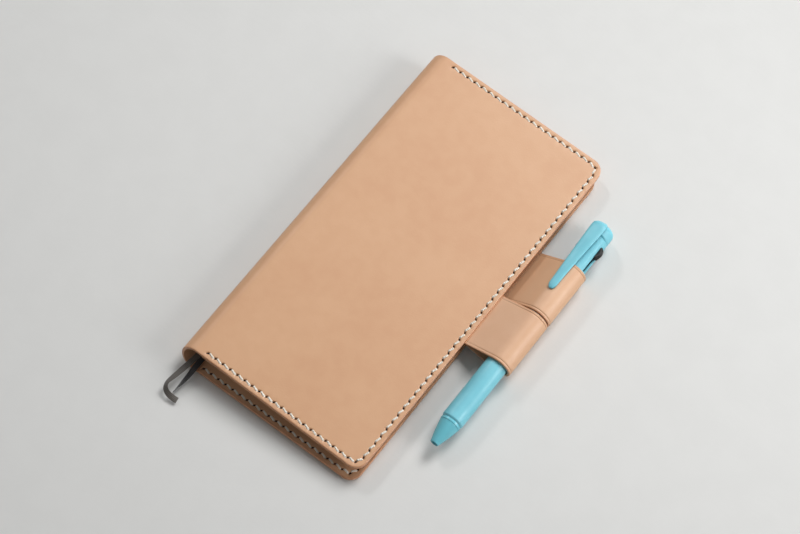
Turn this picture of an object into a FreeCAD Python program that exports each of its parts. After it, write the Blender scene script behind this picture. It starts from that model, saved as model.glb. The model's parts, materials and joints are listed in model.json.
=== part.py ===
import FreeCAD, Part
import math
import os

V = FreeCAD.Vector

# Slim leather notebook cover with a slider pen through its two pen loops. All sizes are in mm.
# X runs from the spine to the fore-edge, Y from the bookmark end to the top, Z up from the table.
# The origin is the middle of the back cover's outer face.

# Notebook held by its back card in the back pocket
notebook_length = 186.0
notebook_width = 91.0
card = 0.35
pages = 2.75
tape = 0.35
paper_gap = 0.05
card_room = 0.4

# Leather cover, cut round the notebook
end_margin = 6.5
fore_margin = 5.7
spine_gap = 0.4
cover_height = 15.0
leather = 1.5
pocket = 1.3
corner_radius = 6.5
mouth_inset = 10.5
front_shift = 4.1
rest_gap = 0.45

# Saddle stitching along three sides of each cover
stitch_inset = 2.75
stitch_margin = 2.1
stitch_pitch = 4.4
thread = 0.8
thread_flat = 0.5
thread_proud = 0.2
thread_clearance = 0.05

# Pen loops, sewn in between the two layers at the fore-edge
strap = 1.35
tongue = 0.8
tongue_clearance = 0.1
tongue_wall = 0.6
loop_length = 31.0
loop_gap = 0.6
loop_start = -13.0
loop_reach = 19.4
loop_apex = 4.0
table_gap = 0.1

# Ribbon bookmarks: places beyond the notebook's lower end and drops below the pages' top
ribbon_width = 3.0
ribbon = 0.25
ribbon_inset = 0.2
ribbon_head = 0.5
dark_tail = ((4.0, 0.0), (13.5, 5.0), (21.5, 5.0))
grey_tail = ((7.5, 0.0), (17.0, 5.0), (24.0, 5.0))

# Pen, measured from its tip
pen_length = 140.0
pen_radius = 5.7
pen_slack = 0.4
clip_lean = 13.0
wall = 0.75
fit = 0.05
sleeve = 0.45
tip_radius = 2.2
tip_hole = 1.5
cone_step = 0.4
cone_end = 13.0
groove_end = 13.6
groove_depth = 0.3
spigot = 4.4
grip_length = 46.4
ring_length = 2.0
ring_proud = 0.05
cap_length = 8.0
cap_plug = 2.5
cap_round = 4.0

# Sliders and refills, a quarter turn apart, the black one set a little towards the clip
slider_turn = 10.0
travel = 8.8
slider_setback = 3.5
slider_length = 7.0
slider_to_loop = 1.1
slider_width = 3.2
slider_height = 2.0
slider_crest = 1.4
stem_width = 2.2
stem_inset = 0.5
slot_clearance = 0.1
slot_ends = 0.3
refill_radius = 1.15
refill_lean = 0.052
refill_hold = 3.5
point_offset = 0.65
point_start = 6.3
point_profile = ((0.0, 0.3), (0.8, 0.42), (9.0, 0.72), (21.0, refill_radius))
shoe_radius = 1.6
shoe_gap = 0.15
shoe_front = 2.5
guide_ahead = 25.5
guide_length = 3.0
guide_clearance = 0.07

# Clip on a sprung knuckle in the cap
clip_length = 41.5
clip_clearance = 0.2
clip_thickness = 1.4
clip_root_width = 9.2
clip_tip_width = 4.6
knuckle_radius = 1.3
knuckle_clearance = 0.06
knuckle_setback = 3.5
knuckle_width = 8.0
boss_margin = 3.2

# Derived places
spine_radius = cover_height / 2
cover_length = notebook_length + 2 * end_margin
cover_width = spine_radius + spine_gap + notebook_width + fore_margin
spine_x = -cover_width / 2
fore_x = cover_width / 2
fold_x = spine_x + spine_radius
half = cover_length / 2
mouth_x = spine_x + mouth_inset
stitch_x = mouth_x + stitch_margin
panel = leather + pocket
page_x = fold_x + spine_gap
page_half = notebook_length / 2
page_z = panel + paper_gap
ribbon_z = page_z + pages + paper_gap
front_card_z = ribbon_z + 2 * ribbon + 3 * paper_gap
ribbon_x = page_x + ribbon_inset + ribbon_width / 2
rest_rise = spine_radius - panel
rest_run = spine_gap + notebook_width
rest_drop = spine_radius - front_card_z - card - rest_gap
rest_angle = math.asin(rest_drop / math.hypot(rest_rise, rest_run))
front_tilt = math.degrees(math.atan2(rest_rise, rest_run) + rest_angle)
tongue_depth = fore_margin - card_room - tongue_clearance - tongue_wall
loop_x = fore_x + loop_reach
loop_inner = pen_radius + pen_slack
loop_outer = loop_inner + strap
loop_z = loop_outer + table_gap
pen_x = loop_x - pen_slack
pen_z = loop_z
bore = pen_radius - wall
spigot_radius = bore - fit
cone_radius = pen_radius - cone_step
refill_offset = bore - shoe_radius - shoe_gap
cap_start = pen_length - cap_length
slider_start = cap_start - slider_setback - slider_length
refill_end = slider_start + refill_hold
guide_start = slider_start - guide_ahead
ring_start = groove_end + grip_length
knuckle_at = cap_start + knuckle_setback
clip_tip = knuckle_at - clip_length
pen_tip_y = loop_start + 2 * loop_length + loop_gap + slider_to_loop - slider_start + travel
clip_under = loop_outer + clip_clearance
knuckle_r = clip_under - knuckle_radius / 5
bend = point_start + (refill_offset - point_offset) / refill_lean


def box(x0, x1, y0, y1, z0, z1):
    return Part.makeBox(x1 - x0, y1 - y0, z1 - z0, V(x0, y0, z0))


def plate(x0, x1, reach, z0, z1, radius):
    """A flat panel with its two fore-edge corners rounded."""
    solid = box(x0, x1, -reach, reach, z0, z1)
    corners = []
    for edge in solid.Edges:
        a, b = edge.Vertexes
        if abs(a.X - x1) < 1e-6 and abs(b.X - x1) < 1e-6 and abs(a.Z - b.Z) > 1e-6:
            corners.append(edge)
    return solid.makeFillet(radius, corners)


def lean(shape):
    """Put a piece of the front cover, built level, in its place on the closed cover."""
    moved = shape.copy()
    moved.rotate(V(fold_x, 0, spine_radius), V(0, 1, 0), front_tilt)
    moved.translate(V(0, front_shift, 0))
    return moved


def lean_point(x, z):
    """Where a point of the level front cover's section comes to lie."""
    t = math.radians(front_tilt)
    dx = x - fold_x
    dz = z - spine_radius
    return fold_x + dx * math.cos(t) + dz * math.sin(t), spine_radius - dx * math.sin(t) + dz * math.cos(t)


def stitch_holes():
    """Evenly spaced hole places round the three sewn sides."""
    turn = corner_radius - stitch_inset
    side = fore_x - stitch_inset - turn
    reach = half - stitch_inset - turn
    run = side - stitch_x
    arc = turn * math.pi / 2
    total = 2 * run + 2 * arc + 2 * reach
    count = round(total / stitch_pitch)
    holes = []
    for i in range(count + 1):
        s = total * min(i, count - i) / count
        sign = -1 if 2 * i < count else 1
        if s < run:
            place = (stitch_x + s, sign * (reach + turn))
        elif s < run + arc:
            a = (s - run) / turn
            place = (side + turn * math.sin(a), sign * (reach + turn * math.cos(a)))
        else:
            place = (side + turn, sign * (reach - (s - run - arc)))
        holes.append(place)
    return holes


def thread_bar(a, b, z0, z1, ease=0.0):
    """One flat stitch between two holes, or with an ease the seat it is pulled into."""
    length = math.dist(a, b) - thread / 2 + 2 * ease
    width = thread + 2 * ease
    bar = Part.makeBox(length, width, z1 - z0, V(-length / 2, -width / 2, z0))
    bar.rotate(V(0, 0, 0), V(0, 0, 1), math.degrees(math.atan2(b[1] - a[1], b[0] - a[0])))
    bar.translate(V((a[0] + b[0]) / 2, (a[1] + b[1]) / 2, 0))
    return bar


def stitching(low, high):
    """One sewn seam: flat stitches at two heights and the thread through each hole."""
    holes = stitch_holes()
    pins = [Part.makeCylinder(thread / 2, high - low, V(x, y, low + thread_flat / 2)) for x, y in holes]
    bars = []
    for a, b in zip(holes, holes[1:]):
        bars.append(thread_bar(a, b, low, low + thread_flat))
        bars.append(thread_bar(a, b, high, high + thread_flat))
    return pins[0].multiFuse(pins[1:] + bars)


def awl_holes():
    """The holes pierced for the thread, through every layer of a level cover."""
    radius = thread / 2 + thread_clearance
    return [Part.makeCylinder(radius, 3 * cover_height, V(x, y, -cover_height)) for x, y in stitch_holes()]


def sew(shape, z0, z1):
    """Cut a seat for each stitch between two heights, and the holes, into one layer."""
    holes = stitch_holes()
    seats = [thread_bar(a, b, z0, z1, thread_clearance) for a, b in zip(holes, holes[1:])]
    return shape.cut(seats + awl_holes())


def loop_spans():
    """The two loops' starts along Y: the front cover's, then the back cover's."""
    return loop_start, loop_start + loop_length + loop_gap


def tangent(x, z, radius, side):
    """Angle on the loop's circle where a straight run from a point meets it."""
    dx = x - loop_x
    dz = z - loop_z
    return math.atan2(dz, dx) % (2 * math.pi) - side * math.acos(radius / math.hypot(dx, dz))


def on_loop(radius, angle, y):
    return V(loop_x + radius * math.cos(angle), y, loop_z + radius * math.sin(angle))


def teardrop(top, bottom, radius, tail, start):
    """A solid whose section is two straight runs closed by an arc, with an optional tail."""
    up = tangent(*top, radius, 1)
    down = tangent(*bottom, radius, -1) - 2 * math.pi
    first = on_loop(radius, up, start)
    last = on_loop(radius, down, start)
    arc = Part.Arc(first, on_loop(radius, (up + down) / 2, start), last).toShape()
    ends = [last] + [V(x, start, z) for x, z in (bottom, *tail, top)] + [first]
    lines = [Part.makeLine(a, b) for a, b in zip(ends, ends[1:]) if a.distanceToPoint(b) > 1e-6]
    return Part.Face(Part.Wire([arc] + lines)).extrude(V(0, loop_length, 0))


def pen_loop(top, bottom, tail, start):
    """A strap folded round the pen, its two ends skived and laid together as a tongue."""
    mid = ((top[0] + bottom[0]) / 2, (top[1] + bottom[1]) / 2)
    way = math.atan2(loop_z - mid[1], loop_x - mid[0])
    apex = (mid[0] + loop_apex * math.cos(way), mid[1] + loop_apex * math.sin(way))
    return teardrop(top, bottom, loop_outer, tail, start).cut(teardrop(apex, apex, loop_inner, (), start))


def tongue_seat(start, z0, z1):
    """Room for a loop's tongue, skived out of the pocket layer."""
    return box(fore_x - tongue_depth - tongue_clearance, fore_x + 1, start - tongue_clearance,
               start + loop_length + tongue_clearance, z0, z1)


def card_seat(z0, z1):
    """Shallow room for a notebook card inside a pocket, open at the mouth."""
    reach = page_half + card_room
    return box(mouth_x - 1, page_x + notebook_width + card_room, -reach, reach, z0, z1)


def back_cover_leather():
    flat = plate(fold_x, fore_x, half, 0, leather, corner_radius)
    return sew(flat, -1, thread_flat + 2 * thread_clearance)


def back_pocket_leather():
    flat = plate(mouth_x, fore_x, half, leather, panel, corner_radius)
    flat = flat.cut(card_seat(leather, leather + card + 2 * paper_gap))
    flat = flat.cut(tongue_seat(loop_spans()[1], leather, leather + tongue + thread_clearance))
    return sew(flat, panel - thread_flat + thread_proud - thread_clearance, panel + 1)


def back_stitching():
    return stitching(thread_clearance, panel - thread_flat + thread_proud)


def back_pen_loop():
    top = (fore_x, leather + tongue)
    bottom = (fore_x, leather)
    inner = fore_x - tongue_depth
    loop = pen_loop(top, bottom, ((inner, leather), (inner, leather + tongue)), loop_spans()[1])
    return loop.cut(awl_holes())


def front_cover_leather():
    flat = plate(fold_x, fore_x, half, cover_height - leather, cover_height, corner_radius)
    return lean(sew(flat, cover_height - thread_flat + thread_proud - thread_clearance, cover_height + 1))


def front_pocket_leather():
    under = cover_height - leather
    flat = plate(mouth_x, fore_x, half, under - pocket, under, corner_radius)
    flat = flat.cut(card_seat(under - card - 2 * paper_gap, under))
    flat = flat.cut(tongue_seat(loop_spans()[0] - front_shift, under - tongue - thread_clearance, under))
    return lean(sew(flat, under - pocket - 1, under - pocket + thread_flat - thread_proud + thread_clearance))


def front_stitching():
    inner = cover_height - panel - thread_proud
    return lean(stitching(inner, cover_height - thread_flat + thread_proud))


def front_pen_loop():
    under = cover_height - leather
    inner = fore_x - tongue_depth
    top = lean_point(fore_x, under)
    bottom = lean_point(fore_x, under - tongue)
    tail = (lean_point(inner, under - tongue), lean_point(inner, under))
    loop = pen_loop(top, bottom, tail, loop_spans()[0])
    return loop.cut([lean(hole) for hole in awl_holes()])


def spine_leather():
    """The bent leather between the covers, its ends slanted by the front's shift."""
    inner = spine_radius - leather
    end = math.radians(90 - front_tilt)
    def at(radius, angle):
        return V(fold_x + radius * math.cos(angle), -cover_length, spine_radius + radius * math.sin(angle))
    start = math.radians(270)
    middle = (start + end) / 2
    outside = Part.Arc(at(spine_radius, start), at(spine_radius, middle), at(spine_radius, end)).toShape()
    inside = Part.Arc(at(inner, end), at(inner, middle), at(inner, start)).toShape()
    ends = [Part.makeLine(at(spine_radius, end), at(inner, end)),
            Part.makeLine(at(inner, start), at(spine_radius, start))]
    long = Part.Face(Part.Wire([outside, ends[0], inside, ends[1]])).extrude(V(0, 2 * cover_length, 0))
    slope = front_shift / cover_height
    low = -1.0
    high = cover_height + 1.0
    corners = [(-half + slope * low, low), (half + slope * low, low),
               (half + slope * high, high), (-half + slope * high, high)]
    wire = Part.makePolygon([V(spine_x - 1, y, z) for y, z in corners + corners[:1]])
    return long.common(Part.Face(wire).extrude(V(cover_width, 0, 0)))


def notebook_back_card():
    z = leather + paper_gap
    return box(page_x, page_x + notebook_width, -page_half, page_half, z, z + card)


def page_block():
    return box(page_x, page_x + notebook_width, -page_half, page_half, page_z, page_z + pages)


def notebook_spine_tape():
    z = leather + 2 * paper_gap
    return box(page_x - tape, page_x, -page_half, page_half, z, page_z + pages)


def notebook_front_card():
    return box(page_x, page_x + notebook_width, -page_half, page_half, front_card_z, front_card_z + card)


def bookmark(tail, z):
    """A flat ribbon from the notebook's head down the gutter, its tail's corners rounded by arcs."""
    points = [V(ribbon_x, page_half - ribbon_head, z)]
    points += [V(ribbon_x, -page_half - out, z - drop) for out, drop in tail]
    edges = []
    here = points[0]
    for a, b, c in zip(points, points[1:], points[2:]):
        u = (a - b).normalize()
        w = (c - b).normalize()
        reach = 0.45 * min(a.distanceToPoint(b), c.distanceToPoint(b))
        half_turn = u.getAngle(w) / 2
        radius = reach * math.tan(half_turn)
        print("bookmark bend radius", round(radius, 2))
        way = (u + w).normalize()
        middle = b + way * (radius / math.sin(half_turn) - radius)
        edges.append(Part.makeLine(here, b + u * reach))
        edges.append(Part.Arc(b + u * reach, middle, b + w * reach).toShape())
        here = b + w * reach
    edges.append(Part.makeLine(here, points[-1]))
    first = points[0]
    section = Part.makePolygon([first + V(x * ribbon_width / 2, 0, s * ribbon / 2)
                                for x, s in ((-1, -1), (1, -1), (1, 1), (-1, 1), (-1, -1))])
    return Part.Wire(edges).makePipeShell([section], True, False)


def bookmark_dark():
    return bookmark(dark_tail, ribbon_z + ribbon / 2)


def bookmark_grey():
    return bookmark(grey_tail, ribbon_z + ribbon + paper_gap + ribbon / 2)


def rod(radius, start, end):
    """A cylinder on the pen's axis, measured from the tip."""
    return Part.makeCylinder(radius, end - start, V(pen_x, pen_tip_y + start, pen_z), V(0, 1, 0))


def taper(r0, r1, start, end):
    return Part.makeCone(r0, r1, end - start, V(pen_x, pen_tip_y + start, pen_z), V(0, 1, 0))


def roll(shape, turn=0.0):
    """Turn a piece about the pen's axis, from straight up or sideways to its place."""
    moved = shape.copy()
    moved.rotate(V(pen_x, 0, pen_z), V(0, 1, 0), turn - clip_lean)
    return moved


def pen_box(side0, side1, start, end, up0, up1):
    """A box in the pen's own directions: sideways, along from the tip, and up."""
    y = pen_tip_y
    return box(pen_x + side0, pen_x + side1, y + start, y + end, pen_z + up0, pen_z + up1)


def pen_nose_cone():
    seat = groove_end + spigot
    shell = taper(tip_radius, cone_radius, 0, cone_end)
    neck = rod(cone_radius - groove_depth, cone_end, groove_end)
    shell = shell.fuse([neck, rod(spigot_radius, groove_end, seat)])
    inner = spigot_radius - 2 * sleeve
    hollow = rod(tip_hole, -1, 1).fuse([taper(tip_hole, inner, 1, cone_end), rod(inner, cone_end, seat + 1)])
    return shell.cut(hollow)


def pen_grip_barrel():
    return rod(pen_radius, groove_end, ring_start).cut(rod(bore, groove_end - 1, ring_start + 1))


def pen_centre_ring():
    end = ring_start + ring_length
    band = rod(pen_radius + ring_proud, ring_start, end)
    joiner = rod(spigot_radius, ring_start - spigot, end + spigot)
    return band.fuse(joiner).cut(rod(spigot_radius - sleeve, 0, pen_length))


def pen_rear_barrel():
    start = ring_start + ring_length
    shell = rod(pen_radius, start, cap_start).cut(rod(bore, start - 1, cap_start + 1))
    w = stem_width / 2 + slot_clearance
    front = slider_start + stem_inset - travel - slot_ends
    rear = slider_start + slider_length - stem_inset + slot_ends
    slot = pen_box(refill_offset, pen_radius + 1, front, rear, -w, w)
    return shell.cut([roll(slot, turn) for _, turn in inks])


def knuckle(radius, width):
    """A cross pin where the clip turns in the cap."""
    y = pen_tip_y + knuckle_at
    return Part.makeCylinder(radius, width, V(pen_x - width / 2, y, pen_z + knuckle_r), V(1, 0, 0))


def pen_top_cap():
    crown = rod(pen_radius, cap_start, pen_length)
    rim = [edge for edge in crown.Edges if abs(edge.BoundBox.YMin - pen_tip_y - pen_length) < 1e-6]
    crown = crown.makeFillet(cap_round, [rim[0]])
    w = knuckle_width / 2 - 0.5
    top = knuckle_r - knuckle_radius / 4
    boss = pen_box(-w, w, knuckle_at - boss_margin, knuckle_at + boss_margin, 0, top)
    cap = crown.fuse([boss, rod(spigot_radius, cap_start - cap_plug, cap_start)])
    return roll(cap.cut(knuckle(knuckle_radius + knuckle_clearance, knuckle_width + 4)))


def pen_clip():
    """A tapering arm with a round end, on its knuckle."""
    under = pen_z + clip_under
    root = pen_tip_y + knuckle_at + knuckle_radius
    tip = pen_tip_y + clip_tip + clip_tip_width / 2
    w0 = clip_root_width / 2
    w1 = clip_tip_width / 2
    corners = [(-w1, tip), (-w0, root), (w0, root), (w1, tip)]
    points = [V(pen_x + x, y, under) for x, y in corners]
    nose = Part.Arc(points[3], V(pen_x, tip - w1, under), points[0]).toShape()
    lines = [Part.makeLine(a, b) for a, b in zip(points, points[1:])]
    arm = Part.Face(Part.Wire(lines + [nose])).extrude(V(0, 0, clip_thickness))
    return roll(arm.fuse(knuckle(knuckle_radius, knuckle_width)))


def refill_line(along):
    """A point on a refill's leaning front part, measured along the pen from its point."""
    return V(pen_x + point_offset + refill_lean * along, pen_tip_y + point_start + along, pen_z)


def refill_guide():
    disc = rod(spigot_radius, guide_start, guide_start + guide_length)
    hole = Part.makeCylinder(refill_radius + guide_clearance, guide_length + 2,
                             V(pen_x + refill_offset, pen_tip_y + guide_start - 1, pen_z), V(0, 1, 0))
    return disc.cut([roll(hole, turn) for _, turn in inks])


def slider(turn):
    """Peaked thumb tab, stem through the slot and the shoe that holds a refill's end."""
    rear = slider_start + slider_length
    foot = pen_radius + 0.1
    w = slider_width / 2
    c = slider_crest / 2
    tab = Part.makeWedge(-slider_length / 2, 0, -w, -c, -c, slider_length / 2, slider_height, w, c, c)
    tab.rotate(V(0, 0, 0), V(0, 0, 1), -90)
    tab.translate(V(pen_x + foot, pen_tip_y + slider_start + slider_length / 2, pen_z))
    s = stem_width / 2
    stem = pen_box(refill_offset, foot, slider_start + stem_inset, rear - stem_inset, -s, s)
    front = slider_start - shoe_front
    place = V(pen_x + refill_offset, pen_tip_y + front, pen_z)
    shoe = Part.makeCylinder(shoe_radius, rear - front, place, V(0, 1, 0))
    socket = Part.makeCylinder(refill_radius, refill_end - front, place, V(0, 1, 0))
    return roll(tab.fuse([stem, shoe]).cut(socket), turn)


def refill_tube(turn):
    """Ink tube: leaning towards the point, then straight back into its slider."""
    last = point_profile[-1][0]
    start = refill_line(last)
    corner = V(pen_x + refill_offset, pen_tip_y + bend, pen_z)
    front = Part.makeCylinder(refill_radius, start.distanceToPoint(corner), start, corner - start)
    rear = Part.makeCylinder(refill_radius, refill_end - bend, corner, V(0, 1, 0))
    elbow = Part.makeSphere(refill_radius, corner)
    return roll(front.fuse([rear, elbow]), turn)


def refill_tip(turn):
    """Writing point: slim cones growing to the tube's size."""
    cones = []
    for (a, r0), (b, r1) in zip(point_profile, point_profile[1:]):
        start = refill_line(a)
        end = refill_line(b)
        cones.append(Part.makeCone(r0, r1, start.distanceToPoint(end), start, end - start))
    return roll(cones[0].fuse(cones[1:]), turn)


pieces = [back_cover_leather, back_pocket_leather, back_stitching, back_pen_loop, spine_leather,
          front_cover_leather, front_pocket_leather, front_stitching, front_pen_loop,
          notebook_back_card, page_block, notebook_spine_tape, notebook_front_card,
          bookmark_dark, bookmark_grey,
          pen_nose_cone, pen_grip_barrel, pen_centre_ring, pen_rear_barrel, pen_top_cap, pen_clip,
          refill_guide]
sliding = [slider, refill_tube, refill_tip]
inks = [("black", -slider_turn), ("red", 90 - slider_turn), ("blue", 180 - slider_turn)]

os.makedirs("parts", exist_ok=True)
for piece in pieces:
    piece().exportStep("parts/" + piece.__name__ + ".step")
for ink, turn in inks:
    for piece in sliding:
        piece(turn).exportStep("parts/" + piece.__name__ + "_" + ink + ".step")
print("cover turns about", spine_x, spine_radius, "notebook card about", page_x, front_card_z)
print("pen axis", pen_x, pen_z, "clip turns at", knuckle_at + pen_tip_y, knuckle_r)
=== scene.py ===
"""Dresses a slim leather notebook cover whose slider pen runs through two interlocking pen loops."""

import json
import logging
import math
from dataclasses import dataclass
from enum import Enum
from typing import Callable, Optional, Sequence

import bmesh
import bpy
import numpy as np
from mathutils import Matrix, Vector


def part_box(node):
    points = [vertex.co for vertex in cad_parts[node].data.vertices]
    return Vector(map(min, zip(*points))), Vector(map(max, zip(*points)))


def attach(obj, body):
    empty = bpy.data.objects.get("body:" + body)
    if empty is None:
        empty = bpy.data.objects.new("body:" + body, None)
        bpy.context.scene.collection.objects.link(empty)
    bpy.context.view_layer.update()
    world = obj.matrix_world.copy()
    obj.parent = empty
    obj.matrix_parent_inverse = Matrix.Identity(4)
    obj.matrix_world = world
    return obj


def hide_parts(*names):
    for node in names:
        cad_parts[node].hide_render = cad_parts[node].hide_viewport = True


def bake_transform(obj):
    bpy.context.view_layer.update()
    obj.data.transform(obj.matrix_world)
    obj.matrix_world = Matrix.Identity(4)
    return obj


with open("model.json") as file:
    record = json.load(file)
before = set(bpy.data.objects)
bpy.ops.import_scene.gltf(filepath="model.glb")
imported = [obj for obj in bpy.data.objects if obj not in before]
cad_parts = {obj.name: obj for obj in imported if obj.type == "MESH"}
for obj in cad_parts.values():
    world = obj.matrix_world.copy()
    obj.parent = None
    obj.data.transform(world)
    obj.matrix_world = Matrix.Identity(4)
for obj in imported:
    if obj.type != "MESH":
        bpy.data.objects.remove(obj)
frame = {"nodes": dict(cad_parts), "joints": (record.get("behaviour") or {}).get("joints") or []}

MM = 0.001
# A share of a sheet's length that lies past its end
PAST_END = 2.0
LOG = logging.getLogger("notebook_cover")
Rows = np.ndarray
Place = Callable[[Rows, Rows, Rows], Rows]
Point = tuple[float, float, float]
Colour = tuple[float, float, float, float]
Profile = list[tuple[float, float]]
Sections = list[tuple[float, float, float, float]]
Spacing = tuple[float, float, int]
Piece = bpy.types.Object
Socket = bpy.types.NodeSocket
Inputs = dict[str, object]


class Body(Enum):
    """The moving bodies that pieces ride on."""

    BACK = "back_cover"
    FRONT = "front_cover"
    CARD = "notebook_front"
    PEN = "pen"
    CLIP = "pen_clip"


class Face(Enum):
    """The two faces of a cut sheet."""

    OUTER = "outer"
    INNER = "inner"


class Ink(Enum):
    """The refills, with each slider's place round the pen in degrees, where the clip is at 90."""

    BLACK = ("black", 10.0)
    RED = ("red", 280.0)
    BLUE = ("blue", 190.0)


def smooth(t: Rows) -> Rows:
    """Ease a share from 0 to 1."""
    t = np.clip(t, 0.0, 1.0)
    return t * t * (3.0 - 2.0 * t)


def finer(stops: Rows, fine: int) -> Rows:
    """Divide each step between stops evenly and leave out the last stop."""
    count = len(stops) - 1
    return np.interp(np.arange(count * fine) / fine, np.arange(count + 1), stops)


def placed(name: str, data: bpy.types.ID) -> Piece:
    """Make an object and put it in the scene.

    Args:
        name: Its name.
        data: Its mesh, curve, lamp or camera.

    Returns:
        The new object, at the origin.
    """
    made = bpy.data.objects.new(name, data)
    bpy.context.scene.collection.objects.link(made)
    return made


class Shape:
    """A mesh in the making, with a seam mark (share of painted shade, inset) beside each point."""

    weld: float = 1e-7

    def __init__(self) -> None:
        """Start with nothing."""
        self.points: list[Rows] = []
        self.seam: list[Rows] = []
        self.faces: list[tuple[int, ...]] = []
        self.count = 0

    def add(self, points: Rows, seam: Optional[Rows] = None) -> Rows:
        """Add a row of points.

        Args:
            points: Places in metres, one row each.
            seam: Seam marks, or None where there are none.

        Returns:
            The new points' numbers.
        """
        points = np.asarray(points, float).reshape(-1, 3)
        start = self.count
        self.count += len(points)
        self.points.append(points)
        self.seam.append(np.zeros((len(points), 2)) if seam is None else seam)
        return np.arange(start, self.count)

    def face(self, *corners: int) -> None:
        """Add a face, leaving out corners that repeat.

        Args:
            *corners: Point numbers in order.
        """
        kept = [int(c) for i, c in enumerate(corners) if c != corners[i - 1]]
        if len(kept) > 2:
            self.faces.append(tuple(kept))

    def bridge(self, a: Rows, b: Rows, closed: bool = True) -> None:
        """Join two rows with faces, where one row may be a whole number of times finer.

        Args:
            a: One row's point numbers.
            b: The other row's.
            closed: Whether the rows are rings.
        """
        if len(a) > len(b):
            a, b = b, a
        if not closed:
            for i in range(len(a) - 1):
                self.face(a[i], a[i + 1], b[i + 1], b[i])
            return
        step = len(b) // len(a)
        middle = step // 2
        for i in range(len(a)):
            p = a[i]
            q = a[(i + 1) % len(a)]
            fine = [b[(i * step + k) % len(b)] for k in range(step + 1)]
            if step == 1:
                self.face(p, q, fine[1], fine[0])
                continue
            for k in range(middle):
                self.face(p, fine[k + 1], fine[k])
            self.face(p, q, fine[middle])
            for k in range(middle, step):
                self.face(q, fine[k + 1], fine[k])

    def loft(self, rings: Sequence[Rows], ends: bool = True) -> None:
        """Join closed rings in order.

        Args:
            rings: Point numbers of each ring.
            ends: Whether the first and last rings are closed with a face.
        """
        for a, b in zip(rings, rings[1:]):
            self.bridge(a, b)
        if ends:
            self.face(*rings[0])
            self.face(*rings[-1])

    def build(self, name: str, sharp: float = 38.0) -> Piece:
        """Make the object.

        Args:
            name: The piece's name.
            sharp: Edges that turn more than this many degrees stay crisp.

        Returns:
            The new object, at the origin.
        """
        mesh = bpy.data.meshes.new(name)
        mesh.from_pydata(np.concatenate(self.points).tolist(), [], self.faces)
        marks = np.concatenate(self.seam)
        corners = np.empty(len(mesh.loops), np.int32)
        mesh.loops.foreach_get("vertex_index", corners)
        layer = mesh.uv_layers.new(name="Seam")
        layer.uv.foreach_set("vector", marks[corners].astype(np.float32).ravel())
        work = bmesh.new()
        work.from_mesh(mesh)
        bmesh.ops.remove_doubles(work, verts=work.verts, dist=self.weld)
        bmesh.ops.recalc_face_normals(work, faces=work.faces)
        work.to_mesh(mesh)
        work.free()
        mesh.polygons.foreach_set("use_smooth", [True] * len(mesh.polygons))
        mesh.set_sharp_from_angle(angle=math.radians(sharp))
        return placed(name, mesh)


@dataclass(frozen=True)
class Groove:
    """A pressed line at an inset from a sheet's edge, left out over a gap in its length.

    Its depth may differ between the sheet's near and far ends, and one share says how much painted shade
    darkens the line.
    """

    inset: float
    width: float
    near_depth: float
    far_depth: float
    face: Face = Face.OUTER
    painted_shade_share: float = 0.0
    gap: tuple[float, float] = (PAST_END, PAST_END)
    fade: float = 0.004

    def press(self, inset: float, share: Rows) -> Rows:
        """How fully the line is pressed.

        Args:
            inset: Distance in from the sheet's edge.
            share: Shares of the sheet's length.

        Returns:
            Shares from 0 beside the line to 1 at its middle.
        """
        across = (inset - self.inset) / self.width
        if abs(across) >= 0.5:
            return np.zeros_like(share)
        start, end = self.gap
        skipped = smooth((share - start) / self.fade + 0.5) * smooth((end - share) / self.fade + 0.5)
        return (1.0 - skipped) * 0.5 * (1.0 + math.cos(2.0 * math.pi * across))

    def depth(self, inset: float, share: Rows) -> Rows:
        """How deep the line is at an inset, for each share of the sheet's length."""
        most = self.near_depth + (self.far_depth - self.near_depth) * smooth(share)
        return most * self.press(inset, share)


@dataclass(frozen=True)
class AwlHoles:
    """Slits pierced for a thread: their places and the directions they are cut in."""

    places: Rows
    slits: Rows
    face: Face
    inset: float
    half_length: float = 0.95 * MM
    half_width: float = 0.48 * MM
    depth: float = 0.9 * MM
    band: float = 0.95 * MM
    steepness: float = 1.5

    def dent(self, u: Rows, v: Rows) -> Rows:
        """How far each point is drawn into a slit.

        Args:
            u: Places along the sheet.
            v: Places across it.

        Returns:
            Shares from 0 on the flat to 1 at a slit's middle.
        """
        du = u[:, None] - self.places[None, :, 0]
        dv = v[:, None] - self.places[None, :, 1]
        along = (du * self.slits[:, 0] + dv * self.slits[:, 1]) / self.half_length
        across = (dv * self.slits[:, 0] - du * self.slits[:, 1]) / self.half_width
        return np.exp(-(along ** 2 + across ** 2) ** self.steepness).max(axis=1)


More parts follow.
